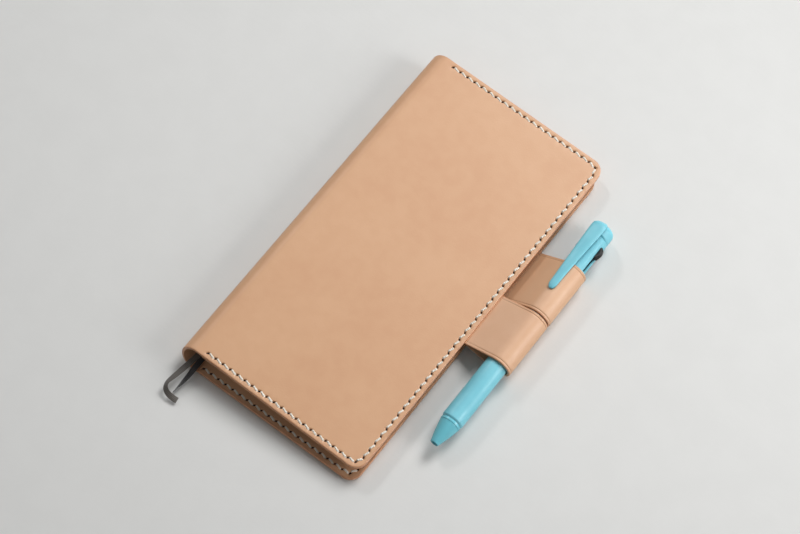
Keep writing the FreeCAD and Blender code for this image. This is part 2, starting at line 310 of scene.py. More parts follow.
@dataclass
class Sheet:
    """A cut sheet with round corners, drawn flat and laid where a place function says.

    u runs along the sheet, v across it and h through it from the outer face.
    """

    length: float
    width: float
    thickness: float
    place: Place
    near_corner: float
    far_corner: float
    outer_round: float
    inner_round: float
    rim: float = 8.0 * MM
    spacing: float = 2.2 * MM
    stops: Optional[Rows] = None
    groove: Optional[Groove] = None
    holes: Optional[AwlHoles] = None
    wall: Sequence[tuple[float, float]] = ()
    rim_rows: Sequence[float] = (0.75, 0.5, 0.25, 0.12)
    groove_rows: Sequence[float] = (-0.5, -0.36, -0.22, 0.0, 0.22, 0.36, 0.5)
    hole_rows: int = 9
    hole_margin: float = 0.2 * MM
    row_gap: float = 0.05 * MM
    round_steps: int = 5
    corner_steps: int = 6
    fineness: int = 9
    seam_unit: float = 10.0 * MM

    def __post_init__(self) -> None:
        """Settle the stops along and across the sheet, as shares from 0 to 1."""
        count = max(2, round((self.length - 2 * self.rim) / self.spacing))
        self.along = np.linspace(0, 1, count + 1) if self.stops is None else self.stops
        count = max(2, round((self.width - 2 * self.rim) / self.spacing))
        self.across = np.linspace(0, 1, count + 1)

    def ring(self, inset: float, fine: int) -> tuple[Rows, Rows]:
        """Go once round the sheet at an inset from its edge.

        Args:
            inset: Distance in from the edge.
            fine: How many steps each base step becomes.

        Returns:
            The u and v of each point.
        """
        near = max(self.near_corner, inset)
        far = max(self.far_corner, inset)
        near_turn = near - inset
        far_turn = far - inset
        half = self.width / 2
        left = near
        right = self.length - far
        go = finer(self.along, fine) * (right - left)
        back = finer(1.0 - self.along[::-1], fine) * (right - left)
        rise = finer(self.across, fine)
        fall = finer(1.0 - self.across[::-1], fine)
        a = finer(np.linspace(0, math.pi / 2, self.corner_steps + 1), fine)
        sides = [
            (left + go, np.full_like(go, inset - half)),
            (right + far_turn * np.sin(a), far - half - far_turn * np.cos(a)),
            (np.full_like(rise, self.length - inset), far - half + rise * (self.width - 2 * far)),
            (right + far_turn * np.cos(a), half - far + far_turn * np.sin(a)),
            (right - back, np.full_like(back, half - inset)),
            (left - near_turn * np.sin(a), half - near + near_turn * np.cos(a)),
            (np.full_like(fall, inset), half - near - fall * (self.width - 2 * near)),
            (left - near_turn * np.cos(a), near - half - near_turn * np.sin(a)),
        ]
        return np.concatenate([s[0] for s in sides]), np.concatenate([s[1] for s in sides])

    def insets(self, face: Face) -> list[tuple[float, float, int]]:
        """Rows from the rim out to the edge of one face.

        Args:
            face: Which face.

        Returns:
            (inset, rounding, fineness) of each row.
        """
        turn = self.outer_round if face is Face.OUTER else self.inner_round
        rows = {round(self.rim * share / MM, 3): 1 for share in self.rim_rows}
        if self.groove and self.groove.face is face:
            for share in self.groove_rows:
                rows[round((self.groove.inset + share * self.groove.width) / MM, 3)] = 1
        if self.holes and self.holes.face is face:
            low = (self.holes.inset - self.holes.band) / MM
            high = (self.holes.inset + self.holes.band) / MM
            margin = self.hole_margin / MM
            rows = {inset: n for inset, n in rows.items() if not low - margin < inset < high + margin}
            for inset in np.linspace(low, high, self.hole_rows):
                rows[round(float(inset), 3)] = self.fineness
        flat = [(inset * MM, 0.0, n) for inset, n in sorted(rows.items(), reverse=True)
                if turn + self.row_gap < inset * MM < self.rim - self.row_gap]
        bend = np.linspace(0, math.pi / 2, self.round_steps + 1)
        return flat + [(turn * (1 - math.sin(a)), turn * (1 - math.cos(a)), 1) for a in bend]

    def row(self, shape: Shape, face: Face, inset: float, rounding: float, fine: int) -> Rows:
        """Add one ring of points on a face.

        Args:
            shape: The mesh in the making.
            face: Which face.
            inset: Distance in from the edge.
            rounding: How far the edge's rounding lowers it.
            fine: The ring's fineness.

        Returns:
            The ring's point numbers.
        """
        u, v = self.ring(inset, fine)
        h = np.full_like(u, rounding)
        # pierced: the share of painted shade, for the dark inside awl slits and along a tinted crease
        pierced = np.zeros_like(u)
        if self.groove and self.groove.face is face:
            h += self.groove.depth(inset, u / self.length)
            pierced = self.groove.painted_shade_share * self.groove.press(inset, u / self.length)
        if self.holes and self.holes.face is face and fine > 1:
            dent = self.holes.dent(u, v)
            h += dent * self.holes.depth
            pierced = np.maximum(pierced, dent)
        if face is Face.INNER:
            h = self.thickness - h
        mark = np.stack([pierced, np.full_like(u, inset / self.seam_unit)], axis=1)
        return shape.add(self.place(u, v, h), mark)

    def field(self, shape: Shape, face: Face) -> Rows:
        """Fill a face inside the rim with a grid.

        Args:
            shape: The mesh in the making.
            face: Which face.

        Returns:
            The grid's outer ring, matching the base rings.
        """
        u = self.rim + self.along * (self.length - 2 * self.rim)
        v = self.rim - self.width / 2 + self.across * (self.width - 2 * self.rim)
        uu, vv = (grid.ravel() for grid in np.meshgrid(u, v, indexing="ij"))
        h = np.full_like(uu, 0.0 if face is Face.OUTER else self.thickness)
        mark = np.stack([np.zeros_like(uu), np.full_like(uu, self.rim / self.seam_unit)], axis=1)
        grid = shape.add(self.place(uu, vv, h), mark).reshape(len(u), len(v))
        for a, b in zip(grid, grid[1:]):
            shape.bridge(a, b, closed=False)
        steps = self.corner_steps
        corner = [np.full(steps, grid[i, j]) for i, j in ((-1, 0), (-1, -1), (0, -1), (0, 0))]
        return np.concatenate([
            grid[:-1, 0], corner[0], grid[-1, :-1], corner[1],
            grid[:0:-1, -1], corner[2], grid[0, :0:-1], corner[3],
        ])

    def shape(self) -> Shape:
        """Make the whole closed sheet.

        Returns:
            Its mesh in the making.
        """
        made = Shape()
        rings = [self.field(made, Face.OUTER)]
        rings += [self.row(made, Face.OUTER, *row) for row in self.insets(Face.OUTER)]
        rings += [self.row(made, Face.OUTER, inset, h, 1) for inset, h in self.wall]
        rings += [self.row(made, Face.INNER, *row) for row in reversed(self.insets(Face.INNER))]
        rings.append(self.field(made, Face.INNER))
        made.loft(rings, ends=False)
        return made


class Board:
    """A node tree being wired."""

    def __init__(self, tree: bpy.types.NodeTree) -> None:
        """Keep the tree."""
        self.tree = tree

    def feed(self, socket: Socket, value: object) -> None:
        """Link a socket to another, or set its value.

        Args:
            socket: The input.
            value: Another node's output, or a plain value.
        """
        if isinstance(value, Socket):
            self.tree.links.new(value, socket)
        else:
            socket.default_value = value

    def node(self, kind: str, *values: object, out: object = 0, props: Optional[dict] = None,
             **named: object) -> Socket:
        """Add a node.

        Args:
            kind: Blender's name for the node.
            *values: Values or sockets for its first inputs.
            out: The output to return.
            props: The node's own settings.
            **named: Values or sockets by input name, with _ for a space.

        Returns:
            The chosen output.
        """
        made = self.tree.nodes.new("ShaderNode" + kind)
        for key, value in (props or {}).items():
            setattr(made, key, value)
        for socket, value in zip(made.inputs, values):
            self.feed(socket, value)
        for name, value in named.items():
            self.feed(made.inputs[name.replace("_", " ")], value)
        return made.outputs[out]

    def math(self, operation: str, *values: object) -> Socket:
        """Add a math node."""
        return self.node("Math", *values, props={"operation": operation})

    def weighted(self, *terms: tuple[Socket, float]) -> Socket:
        """Add up sockets, each times its own weight.

        Args:
            *terms: (socket, weight) of each.

        Returns:
            Their sum.
        """
        parts = [self.math("MULTIPLY", socket, weight) for socket, weight in terms]
        total = parts[0]
        for part in parts[1:]:
            total = self.math("ADD", total, part)
        return total

    def remap(self, value: object, low: float, high: float, start: float = 0.0, end: float = 1.0) -> Socket:
        """Map a value from one range to another, smoothly and clamped."""
        return self.node("MapRange", value, low, high, start, end,
                         props={"interpolation_type": "SMOOTHSTEP"})

    def mix(self, share: object, a: object, b: object) -> Socket:
        """Mix two colours.

        Args:
            share: How much of the second there is.
            a: The first colour.
            b: The second colour.

        Returns:
            The mixed colour.
        """
        made = self.tree.nodes.new("ShaderNodeMix")
        made.data_type = "RGBA"
        for socket, value in ((made.inputs[0], share), (made.inputs[6], a), (made.inputs[7], b)):
            self.feed(socket, value)
        return made.outputs[2]

    def stretched(self, vector: object, stretch: Point) -> Socket:
        """Stretch a vector along its axes."""
        return self.node("VectorMath", vector, stretch, props={"operation": "MULTIPLY"})

    def millimetres(self, stretch: Point = (1.0, 1.0, 1.0)) -> Socket:
        """The piece's own coordinates in millimetres, stretched along its axes."""
        place = self.node("TexCoord", out="Object")
        return self.stretched(place, tuple(share / MM for share in stretch))

    def bump(self, height: Socket, depth: float) -> Socket:
        """A bumped normal, where a height of 1 is as deep as depth says."""
        return self.node("Bump", Height=height, Distance=depth)

    def noise(self, vector: object, size: float, detail: float) -> Socket:
        """Noise with blots of a size in the vector's unit."""
        return self.node("TexNoise", Vector=vector, Scale=1.0 / size, Detail=detail)


def srgb(*screen: int) -> Colour:
    """A screen colour, its red, green and blue from 0 to 255, as opaque linear light."""
    shares = [value / 255 for value in screen]
    return (*(s / 12.92 if s <= 0.04045 else ((s + 0.055) / 1.055) ** 2.4 for s in shares), 1.0)


class Group(Board):
    """A shader node group being wired, with its inputs by name."""

    def __init__(self, name: str, inputs: Sequence[tuple[str, str]], outputs: Sequence[str]) -> None:
        """Start the group.

        Args:
            name: The group's name.
            inputs: (name, socket kind) of each input.
            outputs: Names of its float outputs.
        """
        tree = bpy.data.node_groups.new(name, "ShaderNodeTree")
        super().__init__(tree)
        for label, kind in inputs:
            tree.interface.new_socket(label, in_out="INPUT", socket_type="NodeSocket" + kind)
        for label in outputs:
            tree.interface.new_socket(label, in_out="OUTPUT", socket_type="NodeSocketFloat")
        self.given = tree.nodes.new("NodeGroupInput").outputs
        self.out = tree.nodes.new("NodeGroupOutput").inputs

    def put(self, **sockets: Socket) -> bpy.types.NodeTree:
        """Feed the outputs.

        Args:
            **sockets: What each output takes.

        Returns:
            The finished group.
        """
        for name, socket in sockets.items():
            self.feed(self.out[name], socket)
        return self.tree


def make_grain(name: str) -> bpy.types.NodeTree:
    """Leather: pebbled pores, a mottle of colour and faint stretch lines.

    Args:
        name: The group's name.

    Returns:
        The finished group.
    """
    group = Group(name, [("Vector", "Vector"), ("Pebble", "Float")], ["Height", "Mottle", "Cloud"])
    vector = group.given["Vector"]
    scale = group.math("DIVIDE", 1.0, group.given["Pebble"])
    pores = group.node("TexVoronoi", Vector=vector, Scale=scale, props={"feature": "SMOOTH_F1"})
    wrinkles = group.noise(vector, size=0.9, detail=5.0)
    lines = group.noise(group.stretched(vector, (1.0, 0.25, 1.0)), size=2.2, detail=4.0)
    mottle = group.noise(vector, size=7.0, detail=4.0)
    cloud = group.noise(vector, size=42.0, detail=2.0)
    return group.put(Height=group.weighted((pores, 0.55), (wrinkles, 0.45), (lines, 0.35)),
                     Mottle=group.remap(mottle, low=0.3, high=0.7),
                     Cloud=group.remap(cloud, low=0.28, high=0.72))


def make_burnish(name: str) -> bpy.types.NodeTree:
    """Edges: a mask that is full on the rubbed edge and fades on to the face, uneven along it.

    Args:
        name: The group's name.

    Returns:
        The finished group.
    """
    group = Group(name, [("Vector", "Vector"), ("Inset", "Float"), ("Reach", "Float")], ["Edge", "Streak"])
    vector = group.given["Vector"]
    uneven = group.noise(vector, size=5.0, detail=3.0)
    reach = group.math("MULTIPLY", group.given["Reach"], group.math("ADD", uneven, 0.5))
    share = group.math("DIVIDE", group.given["Inset"], reach)
    layers = group.noise(group.stretched(vector, (0.12, 0.12, 2.6)), size=1.0, detail=3.0)
    return group.put(Edge=group.remap(share, low=0.25, high=1.0, start=1.0, end=0.0),
                     Streak=group.remap(layers, low=0.35, high=0.65))


def make_fibre(name: str) -> bpy.types.NodeTree:
    """Paper, card and thread: felted fibres and a slow cloud of tone.

    Args:
        name: The group's name.

    Returns:
        The finished group.
    """
    group = Group(name, [("Vector", "Vector"), ("Length", "Float")], ["Height", "Cloud"])
    vector = group.given["Vector"]
    scale = group.math("DIVIDE", 1.0, group.given["Length"])
    felt = [group.node("TexNoise", Vector=group.stretched(vector, stretch), Scale=scale, Detail=5.0)
            for stretch in ((0.2, 1.0, 1.0), (1.0, 0.2, 1.0))]
    cloud = group.noise(vector, size=16.0, detail=3.0)
    return group.put(Height=group.math("ADD", *felt), Cloud=group.remap(cloud, low=0.3, high=0.7))


def make_speckle(name: str) -> bpy.types.NodeTree:
    """Moulded plastic: a fine spark-eroded texture, soft rub marks and a little settled dust.

    Args:
        name: The group's name.

    Returns:
        The finished group.
    """
    group = Group(name, [("Vector", "Vector"), ("Size", "Float")], ["Height", "Rub", "Dust"])
    vector = group.given["Vector"]
    scale = group.math("DIVIDE", 1.0, group.given["Size"])
    rub = group.noise(vector, size=9.0, detail=5.0)
    dust = group.noise(vector, size=0.6, detail=6.0)
    return group.put(Height=group.node("TexNoise", Vector=vector, Scale=scale, Detail=2.0),
                     Rub=group.remap(rub, low=0.35, high=0.65),
                     Dust=group.remap(dust, low=0.62, high=0.78))


class Effect(Enum):
    """Shared surface effects, each one shader node group, with its name and its maker."""

    GRAIN = ("leather_grain", make_grain)
    BURNISH = ("burnished_edge", make_burnish)
    FIBRE = ("fibre", make_fibre)
    SPECKLE = ("moulded_speckle", make_speckle)

    def group(self) -> bpy.types.NodeTree:
        """The effect's group, made the first time it is asked for."""
        name, make = self.value
        return bpy.data.node_groups.get(name) or make(name)

    def on(self, board: Board, **named: object) -> bpy.types.Node:
        """Place the effect in a material, with its inputs fed by name, and return its node."""
        return board.node("Group", props={"node_tree": self.group()}, **named).node


class Finish:
    """A surface finish that makes one material and shares it."""

    name: str

    def material(self) -> bpy.types.Material:
        """Make the finish's material the first time it is asked for.

        Returns:
            The material.
        """
        found = bpy.data.materials.get(self.name)
        if found:
            return found
        made = bpy.data.materials.new(self.name)
        made.use_nodes = True
        made.node_tree.nodes.clear()
        board = Board(made.node_tree)
        target = made.node_tree.nodes.new("ShaderNodeOutputMaterial")
        board.feed(target.inputs["Surface"], board.node("BsdfPrincipled", **self.paint(board)))
        return made

    def paint(self, board: Board) -> Inputs:
        """Wire the finish and return the principled shader's inputs."""
        raise NotImplementedError


@dataclass(frozen=True)
class TannedLeather(Finish):
    """Undyed tanned leather with rubbed, darker edges, and painted shade in its pierced holes and tinted
    creases.
    """

    name: str
    pale: Colour
    warm: Colour
    edge: Colour
    edge_dark: Colour
    # hole: the painted shade colour for the inside of awl slits and for tinted creases
    hole: Colour
    roughness: float = 0.48
    gloss: float = 0.8
    pebble: float = 0.55
    edge_reach: float = 0.09
    cloud_share: float = 0.6
    mottle_share: float = 0.4
    painted_shade_rim: float = 0.25
    painted_shade_core: float = 0.7
    smoother: float = 0.01
    rougher: float = 0.015
    edge_polish: float = 0.12
    grain_depth: float = 0.04 * MM

    def paint(self, board: Board) -> Inputs:
        """Mottle the face, darken the edges, paint shade into the holes and creases, and press in the grain.

        Args:
            board: The material's board.

        Returns:
            The principled shader's inputs.
        """
        vector = board.millimetres()
        marks = board.node("SeparateXYZ", board.node("UVMap", props={"uv_map": "Seam"}), out="X")
        inset = marks.node.outputs["Y"]
        grain = Effect.GRAIN.on(board, Vector=vector, Pebble=self.pebble)
        rubbed = Effect.BURNISH.on(board, Vector=vector, Inset=inset, Reach=self.edge_reach)
        mottle = grain.outputs["Mottle"]
        edge = rubbed.outputs["Edge"]
        tone = board.weighted((grain.outputs["Cloud"], self.cloud_share), (mottle, self.mottle_share))
        colour = board.mix(tone, self.pale, self.warm)
        side = board.mix(rubbed.outputs["Streak"], self.edge, self.edge_dark)
        colour = board.mix(edge, colour, side)
        # Painted shade: dark brown where the seam mark says an awl slit or a tinted crease is
        colour = board.mix(board.remap(marks, self.painted_shade_rim, self.painted_shade_core), colour, self.hole)
        shine = board.remap(mottle, 0.0, 1.0, self.roughness - self.smoother, self.roughness + self.rougher)
        shine = board.weighted((shine, 1.0), (edge, -self.edge_polish))
        return {"Base Color": colour, "Roughness": shine, "Specular IOR Level": self.gloss,
                "Normal": board.bump(grain.outputs["Height"], self.grain_depth)}


@dataclass(frozen=True)
class WaxedThread(Finish):
    """Waxed linen thread, laid up of two plies."""

    name: str
    light: Colour
    dark: Colour
    ply: float = 0.9
    wander: float = 1.2
    fibre: float = 0.18
    hollow: float = 0.45
    hollow_darkening: float = 0.6
    cloud_soil: float = 0.3
    hollow_roughness: float = 0.72
    crest_roughness: float = 0.55
    fibre_share: float = 0.3
    ply_depth: float = 0.12 * MM

    def paint(self, board: Board) -> Inputs:
        """Twist the plies and make the hollows between them darker.

        Args:
            board: The material's board.

        Returns:
            The principled shader's inputs.
        """
        marks = board.node("UVMap", props={"uv_map": "Seam"})
        twist = board.node("TexWave", Vector=marks, Scale=self.ply, Distortion=self.wander, Detail=2.0,
                           props={"bands_direction": "DIAGONAL"}, out="Fac")
        fibre = Effect.FIBRE.on(board, Vector=board.millimetres(), Length=self.fibre)
        hollow = board.remap(twist, 0.0, self.hollow, start=1.0, end=0.0)
        darkening = board.weighted((hollow, self.hollow_darkening), (fibre.outputs["Cloud"], self.cloud_soil))
        height = board.weighted((twist, 1.0), (fibre.outputs["Height"], self.fibre_share))
        return {"Base Color": board.mix(darkening, self.light, self.dark),
                "Roughness": board.remap(twist, 0.0, 1.0, self.hollow_roughness, self.crest_roughness),
                "Normal": board.bump(height, self.ply_depth)}


@dataclass(frozen=True)
class MouldedPlastic(Finish):
    """Moulded pen plastic, satin or glossy, with a little light let in."""

    name: str
    body: Colour
    deep: Colour
    roughness: float
    texture_depth: float
    grain_size: float = 0.22
    coat: float = 0.0
    coat_roughness: float = 0.12
    rub_share: float = 0.4
    grain_share: float = 0.35
    smoother: float = 0.04
    rougher: float = 0.05
    dust_share: float = 0.15
    milky: float = 0.04
    milky_depth: float = 1.0 * MM

    def paint(self, board: Board) -> Inputs:
        """Vary the tone and gloss and add the tool's fine texture.

        Args:
            board: The material's board.

        Returns:
            The principled shader's inputs.
        """
        marks = Effect.SPECKLE.on(board, Vector=board.millimetres(), Size=self.grain_size)
        rub = marks.outputs["Rub"]
        grain = marks.outputs["Height"]
        tone = board.weighted((rub, self.rub_share), (grain, self.grain_share))
        shine = board.remap(rub, 0.0, 1.0, self.roughness - self.smoother, self.roughness + self.rougher)
        shine = board.weighted((shine, 1.0), (marks.outputs["Dust"], self.dust_share))
        return {"Base Color": board.mix(tone, self.body, self.deep), "Roughness": shine,
                "Coat Weight": self.coat, "Coat Roughness": self.coat_roughness,
                "Subsurface Weight": self.milky, "Subsurface Radius": (self.milky_depth,) * 3,
                "Normal": board.bump(grain, self.texture_depth)}


@dataclass(frozen=True)
class PressedPaper(Finish):
    """Paper or card, with ruled lines where it is ruled."""

    name: str
    light: Colour
    dark: Colour
    fibre: float
    rule: float = 0.0
    rule_colour: Colour = (0.35, 0.45, 0.5, 1.0)
    rule_strength: float = 0.7
    rule_core: float = 0.012
    rule_rim: float = 0.03
    edge_on: float = 0.6
    face_on: float = 0.9
    cloud_share: float = 0.7
    light_roughness: float = 0.78
    dark_roughness: float = 0.9
    gloss: float = 0.25
    fibre_depth: float = 0.03 * MM

    def paint(self, board: Board) -> Inputs:
        """Felt the fibres and draw the rules.

        Args:
            board: The material's board.

        Returns:
            The principled shader's inputs.
        """
        vector = board.millimetres()
        fibre = Effect.FIBRE.on(board, Vector=vector, Length=self.fibre)
        cloud = fibre.outputs["Cloud"]
        colour = board.mix(board.math("MULTIPLY", cloud, self.cloud_share), self.light, self.dark)
        if self.rule:
            colour = board.mix(self.rules(board, vector), colour, self.rule_colour)
        return {"Base Color": colour, "Specular IOR Level": self.gloss,
                "Roughness": board.remap(cloud, 0.0, 1.0, self.light_roughness, self.dark_roughness),
                "Normal": board.bump(fibre.outputs["Height"], self.fibre_depth)}

    def rules(self, board: Board, vector: Socket) -> Socket:
        """Rule the faces of the leaves, and not their edges.

        Args:
            board: The material's board.
            vector: The piece's coordinates in millimetres.

        Returns:
            The lines' mask.
        """
        across = board.node("SeparateXYZ", vector, out="Y")
        part = board.math("FRACT", board.math("DIVIDE", across, self.rule))
        off = board.math("ABSOLUTE", board.math("SUBTRACT", part, 0.5))
        line = board.remap(off, self.rule_core, self.rule_rim, self.rule_strength, 0.0)
        facing = board.node("SeparateXYZ", board.node("NewGeometry", out="Normal"), out="Z")
        printed = board.remap(board.math("ABSOLUTE", facing), self.edge_on, self.face_on)
        return board.math("MULTIPLY", line, printed)


@dataclass(frozen=True)
class WovenRibbon(Finish):
    """Ribbed ribbon or tape."""

    name: str
    light: Colour
    dark: Colour
    rib: float = 0.35
    weft: float = 0.16
    weft_wander: float = 0.6
    warp: float = 0.3
    warp_wander: float = 0.8
    warp_share: float = 0.7
    fibre: float = 0.25
    weave_share: float = 0.7
    cloud_share: float = 0.3
    hollow_roughness: float = 0.7
    crest_roughness: float = 0.45
    sheen: float = 0.3
    weave_depth: float = 0.1 * MM

    def paint(self, board: Board) -> Inputs:
        """Rib the weave and catch the light on its threads.

        Args:
            board: The material's board.

        Returns:
            The principled shader's inputs.
        """
        vector = board.millimetres()

        def threads(way: str, pitch: float, wander: float) -> Socket:
            """Threads that follow each other along one axis."""
            return board.node("TexWave", Vector=vector, Scale=pitch / self.rib, Distortion=wander, Detail=1.0,
                              props={"bands_direction": way}, out="Fac")

        weft = threads("Y", self.weft, self.weft_wander)
        warp = threads("X", self.warp, self.warp_wander)
        weave = board.math("MAXIMUM", weft, board.math("MULTIPLY", warp, self.warp_share))
        fibre = Effect.FIBRE.on(board, Vector=vector, Length=self.fibre)
        tone = board.weighted((weave, self.weave_share), (fibre.outputs["Cloud"], self.cloud_share))
        return {"Base Color": board.mix(tone, self.dark, self.light), "Sheen Weight": self.sheen,
                "Roughness": board.remap(weave, 0.0, 1.0, self.hollow_roughness, self.crest_roughness),
                "Normal": board.bump(weave, self.weave_depth)}


@dataclass(frozen=True)
class BrightMetal(Finish):
    """Turned metal of a writing point."""

    name: str
    light: Colour
    dark: Colour
    turning: Point = (0.1, 6.0, 0.1)
    mark_size: float = 0.8
    mark_depth: float = 0.01 * MM
    polished: float = 0.18
    scored: float = 0.34

    def paint(self, board: Board) -> Inputs:
        """Leave fine turning marks round the point.

        Args:
            board: The material's board.

        Returns:
            The principled shader's inputs.
        """
        marks = Effect.SPECKLE.on(board, Vector=board.millimetres(self.turning), Size=self.mark_size)
        height = marks.outputs["Height"]
        return {"Base Color": board.mix(marks.outputs["Rub"], self.light, self.dark), "Metallic": 1.0,
                "Roughness": board.remap(height, low=0.3, high=0.7, start=self.polished, end=self.scored),
                "Normal": board.bump(height, self.mark_depth)}


RUBBED_EDGE = srgb(210, 156, 116)
RUBBED_DARK = srgb(194, 138, 100)
# Painted shade for the insides of awl slits and for the loops' tinted creases
PAINTED_SHADE_BROWN = srgb(52, 28, 15)
OUTER_LEATHER = TannedLeather("tanned_leather", srgb(212, 165, 125), srgb(206, 156, 116),
                              RUBBED_EDGE, RUBBED_DARK, PAINTED_SHADE_BROWN)
LOOP_LEATHER = TannedLeather("loop_leather", srgb(216, 170, 132), srgb(211, 163, 125),
                             RUBBED_EDGE, RUBBED_DARK, PAINTED_SHADE_BROWN, roughness=0.5, gloss=1.0)
LINING_LEATHER = TannedLeather("lining_leather", srgb(206, 160, 124), srgb(196, 149, 112),
                               srgb(203, 148, 108), srgb(187, 131, 93), PAINTED_SHADE_BROWN, roughness=0.6, gloss=0.5)
CREAM_THREAD = WaxedThread("cream_thread", srgb(246, 242, 232), srgb(206, 194, 174))
PEN_SATIN = MouldedPlastic("pen_satin", srgb(128, 204, 219), srgb(108, 189, 206), 0.4, 0.03 * MM)
PEN_GLOSS = MouldedPlastic("pen_gloss", srgb(110, 200, 218), srgb(92, 184, 204), 0.16, 0.003 * MM, coat=0.5)
BLACK_PLASTIC = MouldedPlastic("black_slider_plastic", srgb(13, 13, 14), srgb(8, 8, 9), 0.5, 0.02 * MM)
RED_PLASTIC = MouldedPlastic("red_slider_plastic", srgb(186, 42, 44), srgb(150, 28, 34), 0.38, 0.02 * MM)
BLUE_PLASTIC = MouldedPlastic("blue_slider_plastic", srgb(44, 74, 160), srgb(30, 54, 128), 0.38, 0.02 * MM)
GUIDE_PLASTIC = MouldedPlastic("guide_plastic", srgb(226, 228, 226), srgb(204, 208, 208), 0.4, 0.01 * MM)
INK_TUBE = MouldedPlastic("ink_tube_plastic", srgb(208, 212, 214), srgb(180, 186, 192), 0.25, 0.004 * MM)
POINT_METAL = BrightMetal("point_metal", srgb(206, 202, 194), srgb(164, 160, 152))
LEAF_PAPER = PressedPaper("leaf_paper", srgb(244, 240, 228), srgb(232, 226, 210), 0.3, rule=3.7)
COVER_CARD = PressedPaper("cover_card", srgb(58, 60, 64), srgb(44, 46, 50), 0.5)
FLOOR_PAPER = PressedPaper("floor_paper", srgb(219, 219, 217), srgb(217, 217, 215), 2.0)
SPINE_TAPE = WovenRibbon("spine_tape", srgb(86, 88, 92), srgb(48, 50, 54), 0.5)
DARK_RIBBON = WovenRibbon("dark_ribbon", srgb(36, 31, 31), srgb(14, 12, 12))
GREY_RIBBON = WovenRibbon("grey_ribbon", srgb(104, 98, 91), srgb(54, 50, 47))


def dress(piece: Piece, finish: Finish, nodes: Sequence[str] = (),
          body: Optional[Body] = None) -> Piece:
    """Give a piece its finish, hang it on its body and hide the frame's nodes that it stands for.

    Args:
        piece: The new piece.
        finish: Its finish.
        nodes: The frame's nodes that it replaces.
        body: What it rides on, or None where it bends between two bodies.

    Returns:
        The piece.
    """
    piece.data.materials.clear()
    piece.data.materials.append(finish.material())
    if body:
        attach(piece, body.value)
    if nodes:
        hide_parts(*nodes)
    LOG.info("%s: %s, for %s", piece.name, finish.name, ", ".join(nodes) or "itself")
    return piece


@dataclass(frozen=True)
class CoverPath:
    """The cover's leather as one sheet: the back, round the spine, and the front.

    u runs from the back's fore-edge to the front's, v along the spine, h in from the outside.
    """

    fold_x: float
    fore_x: float
    radius: float
    half: float
    tilt: float
    shift: float
    leather: float
    panel: float
    corner: float = 6.5 * MM

    @classmethod
    def from_frame(cls) -> "CoverPath":
        """Read the cover's sizes off the frame.

        Returns:
            The cover's path.
        """
        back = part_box("back_cover_leather")
        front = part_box("front_cover_leather")
        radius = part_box("spine_leather")[1].z / 2
        leather = back[1].z
        reach = back[1].x - back[0].x
        rise = radius - leather
        tilt = math.atan2(rise, reach) + math.asin((radius - front[0].z) / math.hypot(rise, reach))
        return cls(back[0].x, back[1].x, radius, back[1].y, tilt, front[1].y - back[1].y, leather,
                   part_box("back_pocket_leather")[1].z)

    @property
    def flat(self) -> float:
        """A panel's width from its fold to its fore-edge."""
        return self.fore_x - self.fold_x

    @property
    def arc(self) -> float:
        """The outer length round the spine."""
        return (math.pi + self.tilt) * self.radius

    @property
    def total(self) -> float:
        """The whole sheet's length."""
        return 2 * self.flat + self.arc

    def at(self, u: Rows, v: Rows, h: Rows) -> Rows:
        """Lay points of the flat sheet on the closed cover.

        Args:
            u: Places along the sheet.
            v: Places across it.
            h: Depths below its outer face.

        Returns:
            Places in the frame, one row each.
        """
        turn = np.clip((u - self.flat) / self.radius, 0.0, math.pi + self.tilt)
        angle = 1.5 * math.pi - turn
        x = self.fold_x + (self.radius - h) * np.cos(angle)
        z = self.radius + (self.radius - h) * np.sin(angle)
        before = np.maximum(self.flat - u, 0.0)
        after = np.maximum(u - self.flat - self.arc, 0.0)
        x += before + after * math.cos(self.tilt)
        z -= after * math.sin(self.tilt)
        y = v + self.shift * smooth((u - self.flat) / self.arc)
        return np.stack([x, y, z], axis=1)

    def front(self, w: Rows, v: Rows, h: Rows) -> Rows:
        """Lay points on the front, measured in from its fore-edge."""
        return self.at(self.total - w, v, h)

    def bend(self) -> tuple[Point, Point]:
        """Where the leather starts and stops turning as the cover opens.

        Returns:
            The two ends of a line between the covers, across which nothing rigid lies.
        """
        slope = math.tan(self.tilt / 2)
        low = self.leather + slope * self.flat
        high = 2 * self.radius - self.leather - slope * self.flat
        run = (high - low) / (1 + slope * slope)
        return (self.fold_x, 0.0, low), (self.fold_x + slope * run, 0.0, low + run)


@dataclass(frozen=True)
class SeamLine:
    """The sewn line round three sides of a panel, measured in from its fore-edge."""

    path: CoverPath
    start: float
    inset: float = 2.75 * MM
    pitch: float = 4.4 * MM
    lean: float = math.radians(-38.0)

    @classmethod
    def from_frame(cls, path: CoverPath, thread: float) -> "SeamLine":
        """Start the seam where the frame's stitching starts."""
        return cls(path, path.fore_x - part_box("back_stitching")[0].x - thread / 2)

    def holes(self) -> tuple[Rows, Rows]:
        """Space the holes evenly along the seam, each a slit that leans across it.

        Returns:
            Each hole's place (w, v) and its slit's direction.
        """
        turn = self.path.corner - self.inset
        reach = self.path.half - self.path.corner
        run = self.start - self.path.corner
        arc = turn * math.pi / 2
        total = 2 * (run + arc + reach)
        count = round(total / self.pitch)
        s = np.linspace(0, total, count + 1)
        near = np.minimum(s, total - s)
        sign = np.where(2 * s < total, -1.0, 1.0)
        bend = np.clip((near - run) / turn, 0.0, math.pi / 2)
        w = self.path.corner + np.maximum(run - near, 0.0) - turn * np.sin(bend)
        side = np.maximum(near - run - arc, 0.0)
        v = sign * (reach - side + turn * np.cos(bend))
        way = np.arctan2(np.sin(bend), sign * np.cos(bend)) + self.lean
        return np.stack([w, v], axis=1), np.stack([np.cos(way), np.sin(way)], axis=1)


